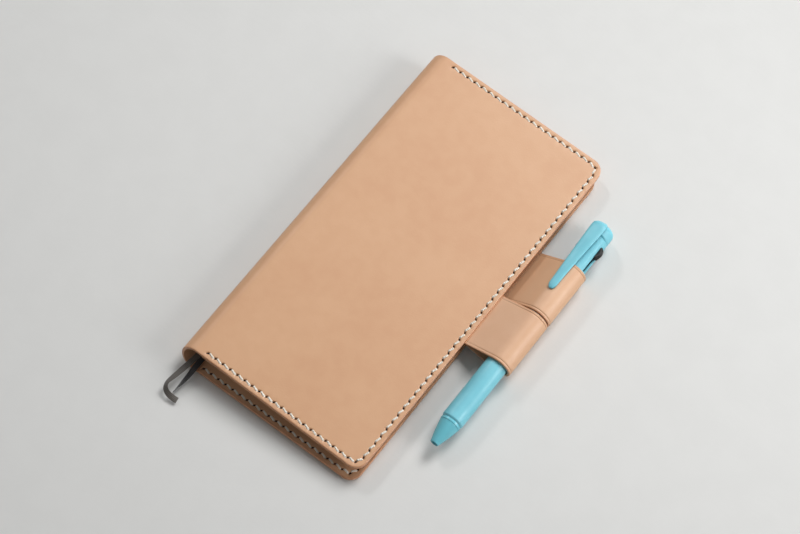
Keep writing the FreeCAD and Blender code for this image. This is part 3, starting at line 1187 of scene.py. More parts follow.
@dataclass(frozen=True)
class Thread:
    """The waxed thread: its own thickness, its laid width and height, and how each stitch lies."""

    diameter: float = 0.8 * MM
    width: float = 1.15 * MM
    height: float = 0.7 * MM
    slant: float = 0.4 * MM
    trim: float = 0.42 * MM
    dive: float = 0.85 * MM
    tuck: float = 0.24
    pinch: float = 0.5
    pinch_power: float = 1.5
    ply_swell: float = 0.09
    ply_half_turns: float = 1.3
    stations: int = 17
    sides: int = 12
    sharp: float = 80.0

    def stitch(self, shape: Shape, place: Place, a: Rows, b: Rows, level: float, inward: float) -> None:
        """Lay one stitch between two holes.

        Args:
            shape: The mesh in the making.
            place: Where sheet points lie.
            a: The first hole.
            b: The next hole.
            level: Depth of the stitch's middle line.
            inward: 1 where depth grows into the leather, -1 on the inner face.
        """
        way = (b - a) / np.linalg.norm(b - a)
        side = np.array([-way[1], way[0]])
        a = a + way * self.trim
        run = b - way * self.trim - a
        length = float(np.linalg.norm(run))
        rings = []
        for s in np.linspace(0, 1, self.stations):
            end = max(0.0, 1.0 - min(s, 1 - s) / self.tuck)
            swell = 1.0 - self.pinch * end ** self.pinch_power
            middle = a + run * s + side * self.slant * math.sin(math.pi * (s - 0.5))
            angle = np.linspace(0, 2 * math.pi, self.sides, endpoint=False)
            ply = 1.0 + self.ply_swell * np.cos(2 * (angle - self.ply_half_turns * math.pi * s))
            across = np.cos(angle) * ply * swell * self.width / 2
            depth = level + inward * self.dive * end ** 2 + np.sin(angle) * ply * swell * self.height / 2
            flat = middle[None, :] + across[:, None] * side[None, :]
            mark = np.stack([np.full(self.sides, s * length / self.width), angle / math.pi], axis=1)
            rings.append(shape.add(place(flat[:, 0], flat[:, 1], depth), mark))
        shape.loft(rings)


@dataclass
class LeatherCover:
    """The outer leather, the two pocket layers and their saddle stitching."""

    path: CoverPath
    thread: Thread
    edge_round: float = 0.55 * MM
    glue_round: float = 0.12 * MM
    lining_round: float = 0.44 * MM
    mouth_corner: float = 0.8 * MM
    groove_width: float = 1.7 * MM
    groove_shallow: float = 0.1 * MM
    groove_sunk: float = 0.5 * MM
    proud: float = 0.24 * MM
    sunk: float = 0.06 * MM
    arc_steps: int = 40
    rim: float = 8.0 * MM
    spacing: float = 2.2 * MM

    def __post_init__(self) -> None:
        """Set out the seam."""
        self.seam = SeamLine.from_frame(self.path, self.thread.diameter)

    def stops(self) -> Rows:
        """Set out the outer leather's rows inside its rim, closer round the spine.

        Returns:
            Places along the leather, as shares from 0 to 1.
        """
        path = self.path
        count = round((path.flat - self.rim) / self.spacing)
        before = np.linspace(self.rim, path.flat, count + 1)
        bend = np.linspace(path.flat, path.flat + path.arc, self.arc_steps + 1)[1:-1]
        after = path.total - before[::-1]
        every = np.concatenate([before, bend, after])
        return (every - self.rim) / (path.total - 2 * self.rim)

    def sheet_holes(self) -> tuple[Rows, Rows]:
        """Take the holes of both panels into the outer leather's own coordinates.

        Returns:
            Each hole's place and its slit's direction.
        """
        places, slits = self.seam.holes()
        front = np.stack([self.path.total - places[:, 0], places[:, 1]], axis=1)
        turned = slits * np.array([-1.0, 1.0])
        return np.concatenate([places, front]), np.concatenate([slits, turned])

    def outer(self) -> Piece:
        """Make the one sheet of leather that is back, spine and front.

        Returns:
            The new piece.
        """
        path = self.path
        places, slits = self.sheet_holes()
        unsewn = self.seam.start / path.total
        sheet = Sheet(
            path.total, 2 * path.half, path.leather, path.at, path.corner, path.corner,
            self.edge_round, self.glue_round, rim=self.rim, stops=self.stops(),
            groove=Groove(self.seam.inset, self.groove_width, self.groove_sunk, self.groove_shallow,
                          gap=(unsewn, 1.0 - unsewn)),
            holes=AwlHoles(places, slits, Face.OUTER, self.seam.inset))
        return sheet.shape().build("cover_leather")

    def lining(self, name: str, place: Place) -> Piece:
        """Make one pocket layer.

        Args:
            name: The piece's name.
            place: Where a point in from the fore-edge lies.

        Returns:
            The new piece.
        """
        path = self.path
        places, slits = self.seam.holes()
        low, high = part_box("back_pocket_leather")
        length = high.x - low.x
        sheet = Sheet(
            length, 2 * path.half, path.panel - path.leather,
            lambda u, v, h: place(u, v, h + path.leather),
            path.corner, self.mouth_corner, self.glue_round, self.lining_round, rim=self.rim,
            groove=Groove(self.seam.inset, self.groove_width, self.groove_shallow, self.groove_shallow,
                          Face.INNER, gap=(self.seam.start / length, PAST_END)),
            holes=AwlHoles(places, slits, Face.INNER, self.seam.inset))
        return sheet.shape().build(name)

    def stitching(self, name: str, place: Place, outer_level: float) -> Piece:
        """Sew one panel on both its faces.

        Args:
            name: The piece's name.
            place: Where a point in from the fore-edge lies.
            outer_level: Depth of the outer stitches' middle line.

        Returns:
            The new piece.
        """
        holes, _ = self.seam.holes()
        shape = Shape()
        inner_level = self.path.panel + self.proud - self.thread.height / 2
        for a, b in zip(holes, holes[1:]):
            self.thread.stitch(shape, place, a, b, outer_level, 1.0)
            self.thread.stitch(shape, place, a, b, inner_level, -1.0)
        return shape.build(name, sharp=self.thread.sharp)

    def build(self) -> None:
        """Make and dress every piece of the cover."""
        leather = self.outer()
        start, end = self.path.bend()
        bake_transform(leather)
        dress(leather, OUTER_LEATHER,
              ("back_cover_leather", "spine_leather", "front_cover_leather"))
        dress(self.lining("back_lining", self.path.at), LINING_LEATHER,
              ("back_pocket_leather",), Body.BACK)
        dress(self.lining("front_lining", self.path.front), LINING_LEATHER,
              ("front_pocket_leather",), Body.FRONT)
        half_height = self.thread.height / 2
        dress(self.stitching("back_seam_thread", self.path.at, self.sunk + half_height), CREAM_THREAD,
              ("back_stitching",), Body.BACK)
        dress(self.stitching("front_seam_thread", self.path.front, half_height - self.proud), CREAM_THREAD,
              ("front_stitching",), Body.FRONT)


@dataclass
class LoopPath:
    """A strap's way out from the fore-edge, round the pen and back in."""

    centre_x: float
    centre_z: float
    radius: float
    strap: float
    skived: float
    roots: tuple[tuple[float, float], ...]
    soften: float = 1.8 * MM
    step: float = 0.3 * MM
    circle_steps: int = 89

    def __post_init__(self) -> None:
        """Work out the outer line, its inward side and the strap's thickness along it."""
        inner_top, top, bottom, inner_bottom = (np.array(point) for point in self.roots)
        up = self.tangent(top, 1.0)
        down = self.tangent(bottom, -1.0) - 2 * math.pi
        angles = np.linspace(up, down, self.circle_steps + 1)
        circle = np.stack([self.centre_x + self.radius * np.cos(angles),
                           self.centre_z + self.radius * np.sin(angles)], axis=1)
        corners = np.concatenate([[inner_top, top], circle, [bottom, inner_bottom]])
        gone = np.concatenate([[0.0], np.cumsum(np.linalg.norm(np.diff(corners, axis=0), axis=1))])
        self.way = np.linspace(0.0, gone[-1], round(gone[-1] / self.step) + 1)
        line = np.stack([np.interp(self.way, gone, corners[:, i]) for i in (0, 1)], axis=1)
        self.line = self.softened(line)
        run = np.gradient(self.line, self.way, axis=0)
        run /= np.linalg.norm(run, axis=1)[:, None]
        self.inward = np.stack([run[:, 1], -run[:, 0]], axis=1)
        stops = [0.0, gone[1], gone[2], gone[-3], gone[-2], gone[-1]]
        thin = self.skived / self.strap
        self.share = np.interp(self.way, stops, [thin, thin, 1.0, 1.0, thin, thin])

    def tangent(self, root: Rows, side: float) -> float:
        """Find where a straight run from a root meets the circle round the pen.

        Args:
            root: The root's place.
            side: 1 for the run above the pen, -1 for the one below.

        Returns:
            The angle on the circle, in radians.
        """
        dx = root[0] - self.centre_x
        dz = root[1] - self.centre_z
        return math.atan2(dz, dx) % (2 * math.pi) - side * math.acos(self.radius / math.hypot(dx, dz))

    def softened(self, line: Rows) -> Rows:
        """Ease the bends at the roots, as thick leather does.

        Args:
            line: Points along the strap.

        Returns:
            The eased points, with the ends where they were.
        """
        reach = round(self.soften / self.step)
        weights = np.hanning(2 * reach + 3)[1:-1]
        padded = np.concatenate([
            2 * line[0] - line[reach:0:-1], line, 2 * line[-1] - line[-2:-reach - 2:-1]])
        weights /= weights.sum()
        return np.stack([np.convolve(padded[:, i], weights, "valid") for i in (0, 1)], axis=1)

    @property
    def length(self) -> float:
        """The strap's whole length."""
        return float(self.way[-1])

    def at(self, u: Rows, y: Rows, h: Rows) -> Rows:
        """Lay points of the strap round the pen.

        Args:
            u: Places along the strap.
            y: Places along the pen.
            h: Depths below the strap's outer face.

        Returns:
            Places in the frame, one row each.
        """
        depth = h * np.interp(u, self.way, self.share)
        x = np.interp(u, self.way, self.line[:, 0]) + depth * np.interp(u, self.way, self.inward[:, 0])
        z = np.interp(u, self.way, self.line[:, 1]) + depth * np.interp(u, self.way, self.inward[:, 1])
        return np.stack([x, y, z], axis=1)


@dataclass
class PenLoops:
    """The two strap loops that the pen locks together, one from each cover."""

    path: CoverPath
    strap: float = 1.35 * MM
    tongue: float = 0.8 * MM
    edge_round: float = 0.5 * MM
    inner_round: float = 0.35 * MM
    crease_inset: float = 1.4 * MM
    crease_width: float = 0.75 * MM
    crease_depth: float = 0.2 * MM
    # How much painted shade darkens the crease
    crease_painted_shade: float = 0.46
    rim: float = 3.2 * MM
    spacing: float = 0.9 * MM

    def loop(self, name: str, node: str, place: Place, outer: float, inner: float) -> Piece:
        """Make one loop.

        Args:
            name: The piece's name.
            node: The frame's node that it stands for.
            place: Where a point in from its cover's fore-edge lies.
            outer: Depth of the tongue's upper side in the cover.
            inner: Depth of its lower side.

        Returns:
            The new piece.
        """
        low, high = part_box(node)
        radius = (high.z - low.z) / 2
        depth = self.path.fore_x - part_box("back_pen_loop")[0].x
        at = [place(np.array([w]), np.zeros(1), np.array([h]))[0] for w, h in
              ((depth, outer), (0.0, outer), (0.0, inner), (depth, inner))]
        roots = tuple((float(point[0]), float(point[2])) for point in at)
        way = LoopPath(high.x - radius, low.z + radius, radius, self.strap, self.tongue / 2, roots)
        middle = (low.y + high.y) / 2
        sheet = Sheet(
            way.length, high.y - low.y, self.strap, lambda u, v, h: way.at(u, v + middle, h),
            self.edge_round, self.edge_round, self.edge_round, self.inner_round, rim=self.rim,
            spacing=self.spacing,
            groove=Groove(self.crease_inset, self.crease_width, self.crease_depth, self.crease_depth,
                          painted_shade_share=self.crease_painted_shade))
        return sheet.shape().build(name)

    def build(self) -> None:
        """Make and dress both loops."""
        top = self.path.leather
        back = self.loop("back_loop", "back_pen_loop", self.path.at, top + self.tongue, top)
        dress(back, LOOP_LEATHER, ("back_pen_loop",), Body.BACK)
        front = self.loop("front_loop", "front_pen_loop", self.path.front, top, top + self.tongue)
        dress(front, LOOP_LEATHER, ("front_pen_loop",), Body.FRONT)


@dataclass
class Notebook:
    """The slim notebook: its two cards, the leaves and the tape over their backs."""

    corner: float = 4.0 * MM
    rim: float = 6.0 * MM
    spacing: float = 6.0 * MM
    sharp: float = 50.0
    card_round: float = 0.1 * MM
    leaf: float = 0.11 * MM
    leaf_round: float = 0.03 * MM
    leaf_step: float = 0.05 * MM
    leaf_seed: int = 7
    crack_inset: float = 0.12 * MM
    crack_start: float = 0.7
    crack_middle: float = 0.85
    tape_bulge: float = 0.1 * MM
    tape_corner: float = 0.15 * MM
    tape_round: float = 0.12 * MM
    tape_glued: float = 0.02 * MM
    tape_rim: float = 0.8 * MM
    tape_rows: int = 59
    bend_start: float = 0.5 * MM
    bend_end: float = 12.5 * MM
    bend_steps: int = 12
    bend_gap: float = 0.02
    bend_rim: tuple[float, float] = (0.95, 0.08)

    def flat(self, name: str, node: str, rounding: float,
             wall: Sequence[tuple[float, float]] = (), bends: bool = False) -> Piece:
        """Lay a sheet flat where a node is, its round corners at the fore-edge.

        Args:
            name: The piece's name.
            node: The frame's node that it stands for.
            rounding: How far its edges are rounded.
            wall: (inset, depth) of each step down its edge.
            bends: Whether its rows are close enough to bend along the spine.

        Returns:
            The new piece.
        """
        low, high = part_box(node)
        middle = (low.y + high.y) / 2
        sheet = Sheet(
            high.x - low.x, high.y - low.y, high.z - low.z,
            lambda u, v, h: np.stack([high.x - u, v + middle, high.z - h], axis=1),
            self.corner, rounding, rounding, rounding, rim=self.rim, spacing=self.spacing, wall=wall)
        if bends:
            turn = (self.bend_end - self.rim) / (sheet.length - 2 * self.rim)
            near = np.linspace(1.0 - turn, 1.0, self.bend_steps + 1)
            sheet.along = np.concatenate([sheet.along[sheet.along < near[0] - self.bend_gap], near])
            sheet.rim_rows = np.linspace(*self.bend_rim, self.bend_steps)
        return sheet.shape().build(name, sharp=self.sharp)

    def leaves(self) -> Piece:
        """Stack the leaves, each edge a little in or out of its neighbours, with cracks between them.

        Returns:
            The new piece.
        """
        low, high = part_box("page_block")
        draw = np.random.default_rng(self.leaf_seed)
        wall = []
        for depth in np.arange(self.leaf, high.z - low.z - self.leaf, self.leaf):
            inset = float(draw.uniform(0.0, self.leaf_step))
            wall += [(inset, depth), (inset, depth + self.crack_start * self.leaf),
                     (self.crack_inset, depth + self.crack_middle * self.leaf)]
        return self.flat("leaves", "page_block", self.leaf_round, wall)

    def tape(self) -> Piece:
        """Bind the leaves' backs with a tape that bulges a little.

        Returns:
            The new piece.
        """
        low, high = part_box("notebook_spine_tape")
        span = high.z - low.z
        thick = high.x - low.x

        def place(u: Rows, v: Rows, h: Rows) -> Rows:
            """Stand the tape on edge, bulging towards the spine."""
            bulge = self.tape_bulge * np.sin(math.pi * np.clip(u / span, 0.0, 1.0))
            return np.stack([low.x + h - bulge, v, low.z + u], axis=1)

        sheet = Sheet(span, high.y - low.y, thick, place, self.tape_corner, self.tape_corner,
                      self.tape_round, self.tape_glued, rim=self.tape_rim, spacing=self.tape_rim)
        sheet.across = np.linspace(0, 1, self.tape_rows + 1)
        return sheet.shape().build("notebook_tape")

    def build(self) -> None:
        """Make and dress the notebook."""
        dress(self.flat("notebook_back", "notebook_back_card", self.card_round), COVER_CARD,
              ("notebook_back_card",), Body.BACK)
        dress(self.leaves(), LEAF_PAPER, ("page_block",), Body.BACK)
        dress(self.tape(), SPINE_TAPE, ("notebook_spine_tape",), Body.BACK)
        card = self.flat("notebook_front_cover", "notebook_front_card", self.card_round, bends=True)
        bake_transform(card)
        dress(card, COVER_CARD, ("notebook_front_card",))


@dataclass(frozen=True)
class Ribbon:
    """A ribbon bookmark: its route, how it turns along it, and its size."""

    name: str
    node: str
    finish: Finish
    slot: str
    length: float
    route: tuple[Point, ...]
    turns: tuple[float, ...]
    width: float = 3.0 * MM
    thickness: float = 0.25 * MM
    lying_flat: float = 90.0
    steps: int = 24
    edge_steps: int = 2
    order: int = 3

    def build(self) -> None:
        curve = bpy.data.curves.new(self.name, "CURVE")
        curve.dimensions = "3D"
        curve.twist_mode = "Z_UP"
        curve.resolution_u = self.steps
        curve.extrude = (self.width - self.thickness) / 2
        curve.bevel_depth = self.thickness / 2
        curve.bevel_resolution = self.edge_steps
        curve.use_fill_caps = True
        line = curve.splines.new("NURBS")
        line.points.add(len(self.route) - 1)
        for point, place, turn in zip(line.points, self.route, self.turns):
            point.co = (*(value * MM for value in place), 1.0)
            point.tilt = math.radians(self.lying_flat + turn)
        line.order_u = self.order
        line.use_endpoint_u = True
        piece = placed(self.name, curve)
        dress(piece, self.finish, (self.node,), Body.BACK)


RIBBONS = (
    Ribbon("ribbon_dark", "bookmark_dark", DARK_RIBBON, "ribbon_dark", 208.2 * MM,
           ((-42.7, 92.5, 5.775), (-42.7, -86.8, 5.775), (-42.5, -98.0, 5.775),
            (-43.2, -107.0, 1.9), (-44.2, -114.4, 1.6)),
           (0.0, 0.0, 0.0, 30.0, 75.0)),
    Ribbon("ribbon_grey", "bookmark_grey", GREY_RIBBON, "ribbon_grey", 217.0 * MM,
           ((-42.7, 92.5, 6.075), (-42.7, -76.0, 6.075), (-44.6, -91.0, 6.3), (-46.4, -101.0, 5.2),
            (-47.4, -108.5, 5.6), (-49.0, -114.6, 4.8), (-45.0, -117.6, 2.4), (-39.8, -116.8, 1.5)),
           (0.0, 0.0, 0.0, 0.0, 15.0, 45.0, 30.0, 5.0)),
)


@dataclass(frozen=True)
class PenAxis:
    """The pen's own directions, along it from the tip, sideways, and up to the clip, and the clip's pivot."""

    x: float
    z: float
    tip: float
    radius: float
    lean: float
    pivot: float
    pivot_height: float

    @classmethod
    def from_frame(cls) -> "PenAxis":
        """Read the pen's place off the frame, and its roll and pivot off the clip's hinge.

        Returns:
            The pen's axis.
        """
        low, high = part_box("pen_grip_barrel")
        x = (low.x + high.x) / 2
        z = (low.z + high.z) / 2
        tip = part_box("pen_nose_cone")[0].y
        hinge = next(joint for joint in frame["joints"] if joint["name"] == "clip_flex")
        lean = math.atan2(-hinge["axis"][2], -hinge["axis"][0])
        hinge_x, hinge_y, hinge_z = hinge["pos_m"]
        return cls(x, z, tip, (high.x - low.x) / 2, lean, hinge_y - tip, math.hypot(hinge_x - x, hinge_z - z))

    def at(self, along: Rows, side: Rows, up: Rows) -> Rows:
        """Lay points that are given in the pen's own directions.

        Args:
            along: Distances from the tip.
            side: Distances to the side.
            up: Distances up towards the clip.

        Returns:
            Places in the frame, one row each.
        """
        x = self.x + side * math.cos(self.lean) - up * math.sin(self.lean)
        z = self.z + side * math.sin(self.lean) + up * math.cos(self.lean)
        return np.stack(np.broadcast_arrays(x, self.tip + along, z), axis=1)

    def around(self, along: float, degrees: Rows, radius: Rows) -> Rows:
        """Places round the pen: 0 degrees sideways, 90 at the clip."""
        a = np.radians(degrees)
        return self.at(np.full_like(a, along), radius * np.cos(a), radius * np.sin(a))


# Where the clip is round the pen, and where the rounded corners of a turned profile start, in degrees
CLIP_SIDE = 90.0
FACING_TIP = 180.0
FACING_OUT = 90.0


def apart(a: Rows, b: float) -> Rows:
    """The smaller turn between directions, in degrees."""
    return np.abs((a - b + 180.0) % 360.0 - 180.0)


def quarter(along: float, radius: float, reach: float, start: float, steps: int) -> Profile:
    """A quarter round in a turned profile, about a centre, from the tip's side towards the rear."""
    angles = np.radians(np.linspace(start, start - 90.0, steps + 1))
    return [(along + reach * math.cos(a), radius + reach * math.sin(a)) for a in angles]


@dataclass
class PenPiece:
    """What the pen's pieces share: the axis, the fit of one in another, and how crisp their edges are."""

    axis: PenAxis
    bore: float = 4.95 * MM
    spigot: float = 4.9 * MM
    edge: float = 0.25 * MM
    edge_steps: int = 4
    sides: int = 72
    sharp: float = 50.0

    def span(self, node: str) -> tuple[float, float]:
        """Where a node starts and ends along the pen, from the tip."""
        low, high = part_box(node)
        return low.y - self.axis.tip, high.y - self.axis.tip

    def turned(self, name: str, profile: Profile) -> Piece:
        """Turn a closed profile round the pen.

        Args:
            name: The piece's name.
            profile: (along, radius) of each point.

        Returns:
            The new piece.
        """
        shape = Shape()
        degrees = np.linspace(0, 360, self.sides, endpoint=False)
        rings = [shape.add(self.axis.around(along, degrees, np.full(self.sides, radius)))
                 for along, radius in profile]
        shape.loft(rings + rings[:1], ends=False)
        return shape.build(name, sharp=self.sharp)


@dataclass
class PenNose(PenPiece):
    """The nose: a blunt cone with a wide mouth, a collar and the part inside the grip. Sizes from its tip."""

    tip_radius: float = 2.2 * MM
    tip_hole: float = 1.6 * MM
    mouth_depth: float = 1.0 * MM
    mouth_edge: float = 0.1 * MM
    mouth_flare: float = 0.08 * MM
    mouth_round: float = 0.2 * MM
    mouth_steps: int = 3
    cone_start: float = 0.25 * MM
    cone_end: float = 11.6 * MM
    cone_top: float = 5.15 * MM
    cone_swell: float = 0.06
    cone_rows: Spacing = (0.02, 1.0, 14)
    neck: float = 4.98 * MM
    groove: float = 0.25 * MM
    groove_slant: float = 0.08 * MM
    collar: float = 5.3 * MM
    collar_gap: float = 0.45 * MM
    collar_slant: float = 0.05 * MM
    wall: float = 0.9 * MM

    def cone(self) -> Profile:
        """Draw the cone's outline, a little fuller than straight.

        Returns:
            Its (along, radius) points.
        """
        share = np.linspace(*self.cone_rows)
        rise = share + self.cone_swell * np.sin(math.pi * share)
        along = self.cone_start + (self.cone_end - self.cone_start) * share
        return list(zip(along, self.tip_radius + (self.cone_top - self.tip_radius) * rise))

    def build(self) -> None:
        """Turn and dress the nose."""
        end = self.span("pen_nose_cone")[1]
        seat = self.span("pen_grip_barrel")[0]
        inner = self.spigot - self.wall
        lip = self.mouth_round
        rim = self.collar - self.edge
        collar_start = self.cone_end + self.groove
        collar_end = seat - self.collar_gap - self.collar_slant
        profile = [(self.mouth_depth, self.tip_hole), (self.mouth_edge, self.tip_hole),
                   (0.0, self.tip_hole + self.mouth_flare)]
        profile += quarter(lip, self.tip_radius - lip, lip, FACING_TIP, self.mouth_steps)
        profile += self.cone()
        profile += [(self.cone_end + self.groove_slant, self.neck), (collar_start, self.neck)]
        profile += quarter(collar_start + self.edge, rim, self.edge, FACING_TIP, self.edge_steps)
        profile += quarter(collar_end - self.edge, rim, self.edge, FACING_OUT, self.edge_steps)
        profile += [(seat - self.collar_gap, self.neck), (seat, self.neck), (seat, self.spigot),
                    (end, self.spigot), (end, inner), (seat, inner)]
        dress(self.turned("pen_nose", profile), PEN_GLOSS, ("pen_nose_cone",), Body.PEN)


@dataclass
class PenBarrels(PenPiece):
    """The grip barrel with a soft shoulder at the nose, and the rear barrel with a slot for each slider."""

    shoulder: float = 0.9 * MM
    shoulder_fall: float = 0.54 * MM
    shoulder_turn: float = 140.0
    shoulder_steps: int = 5
    grip_margin: float = 3.0 * MM
    rear_margin: float = 4.0 * MM
    rows: int = 12
    slot_half: float = 1.2 * MM
    slot_front: float = 112.9 * MM
    slot_rear: float = 128.3 * MM
    slot_rows: int = 6
    column_step: float = 5.0
    column_gap: float = 2.0
    slot_sharp: float = 40.0

    def grip(self) -> Piece:
        """Turn the grip barrel.

        Returns:
            The new piece.
        """
        start, end = self.span("pen_grip_barrel")
        r = self.axis.radius
        fall = self.shoulder_fall
        bend = quarter(start + self.shoulder, r - fall, fall, self.shoulder_turn, self.shoulder_steps)
        profile = [(start, self.bore), (start, r - fall), *bend[1:-2], (start + self.shoulder + fall, r)]
        profile += [(a, r) for a in np.linspace(start + self.grip_margin, end - self.grip_margin, self.rows)]
        profile += quarter(end - self.edge, r - self.edge, self.edge, FACING_OUT, self.edge_steps)
        profile += [(end, self.bore)]
        return self.turned("pen_grip", profile)

    def rear(self) -> Piece:
        """Make the rear barrel as a tube that is open at its slots.

        Returns:
            The new piece.
        """
        start, end = self.span("pen_rear_barrel")
        r = self.axis.radius
        half = math.degrees(math.asin(self.slot_half / r))
        edges = [ink.value[1] + side for ink in Ink for side in (-half, half)]
        plain = [a for a in np.arange(0, 360, self.column_step)
                 if all(apart(a, e) > self.column_gap for e in edges)]
        degrees = np.array(sorted({round(a % 360, 4) for a in plain + edges}))
        outer = quarter(start + self.edge, r - self.edge, self.edge, FACING_TIP, self.edge_steps)
        outer += [(a, r) for a in np.linspace(start + self.rear_margin, self.slot_front, self.rows)]
        outer += [(a, r) for a in np.linspace(self.slot_front, self.slot_rear, self.slot_rows)[1:]]
        outer += quarter(end - self.edge, r - self.edge, self.edge, FACING_OUT, self.edge_steps)
        along = [a for a, _ in outer]
        shape = Shape()
        skin = [shape.add(self.axis.around(a, degrees, np.full(len(degrees), q))) for a, q in outer]
        core = [shape.add(self.axis.around(a, degrees, np.full(len(degrees), self.bore))) for a in along]
        self.slotted(shape, degrees, along, half, skin, core)
        return shape.build("pen_rear", sharp=self.slot_sharp)

    def slotted(self, shape: Shape, degrees: Rows, along: Sequence[float], half: float,
                skin: Sequence[Rows], core: Sequence[Rows]) -> None:
        """Face a tube and leave its slots open.

        Args:
            shape: The mesh in the making.
            degrees: The columns' places round the tube.
            along: The rows' places along it.
            half: Half a slot's width in degrees.
            skin: The outer rows' point numbers.
            core: The inner rows' point numbers.
        """
        count = len(degrees)
        rows = len(along)

        def is_open(i: int, j: int) -> bool:
            """Tell whether a cell is in a slot or past an end.

            Args:
                i: The row before it.
                j: The column before it.

            Returns:
                True where it has no faces.
            """
            if not 0 <= i < rows - 1:
                return True
            place = (degrees[j] + (degrees[(j + 1) % count] - degrees[j]) % 360 / 2) % 360
            near = min(apart(place, ink.value[1]) for ink in Ink)
            middle = (along[i] + along[i + 1]) / 2
            return near < half and self.slot_front < middle < self.slot_rear

        for i in range(rows - 1):
            for j in range(count):
                k = (j + 1) % count
                if is_open(i, j):
                    continue
                shape.face(skin[i][j], skin[i][k], skin[i + 1][k], skin[i + 1][j])
                shape.face(core[i][j], core[i + 1][j], core[i + 1][k], core[i][k])
                if is_open(i, (j - 1) % count):
                    shape.face(skin[i][j], skin[i + 1][j], core[i + 1][j], core[i][j])
                if is_open(i, k):
                    shape.face(skin[i][k], core[i][k], core[i + 1][k], skin[i + 1][k])
                if is_open(i - 1, j):
                    shape.face(skin[i][j], core[i][j], core[i][k], skin[i][k])
                if is_open(i + 1, j):
                    shape.face(skin[i + 1][j], skin[i + 1][k], core[i + 1][k], core[i + 1][j])

    def build(self) -> None:
        """Make and dress both barrels."""
        dress(self.grip(), PEN_SATIN, ("pen_grip_barrel",), Body.PEN)
        dress(self.rear(), PEN_SATIN, ("pen_rear_barrel",), Body.PEN)


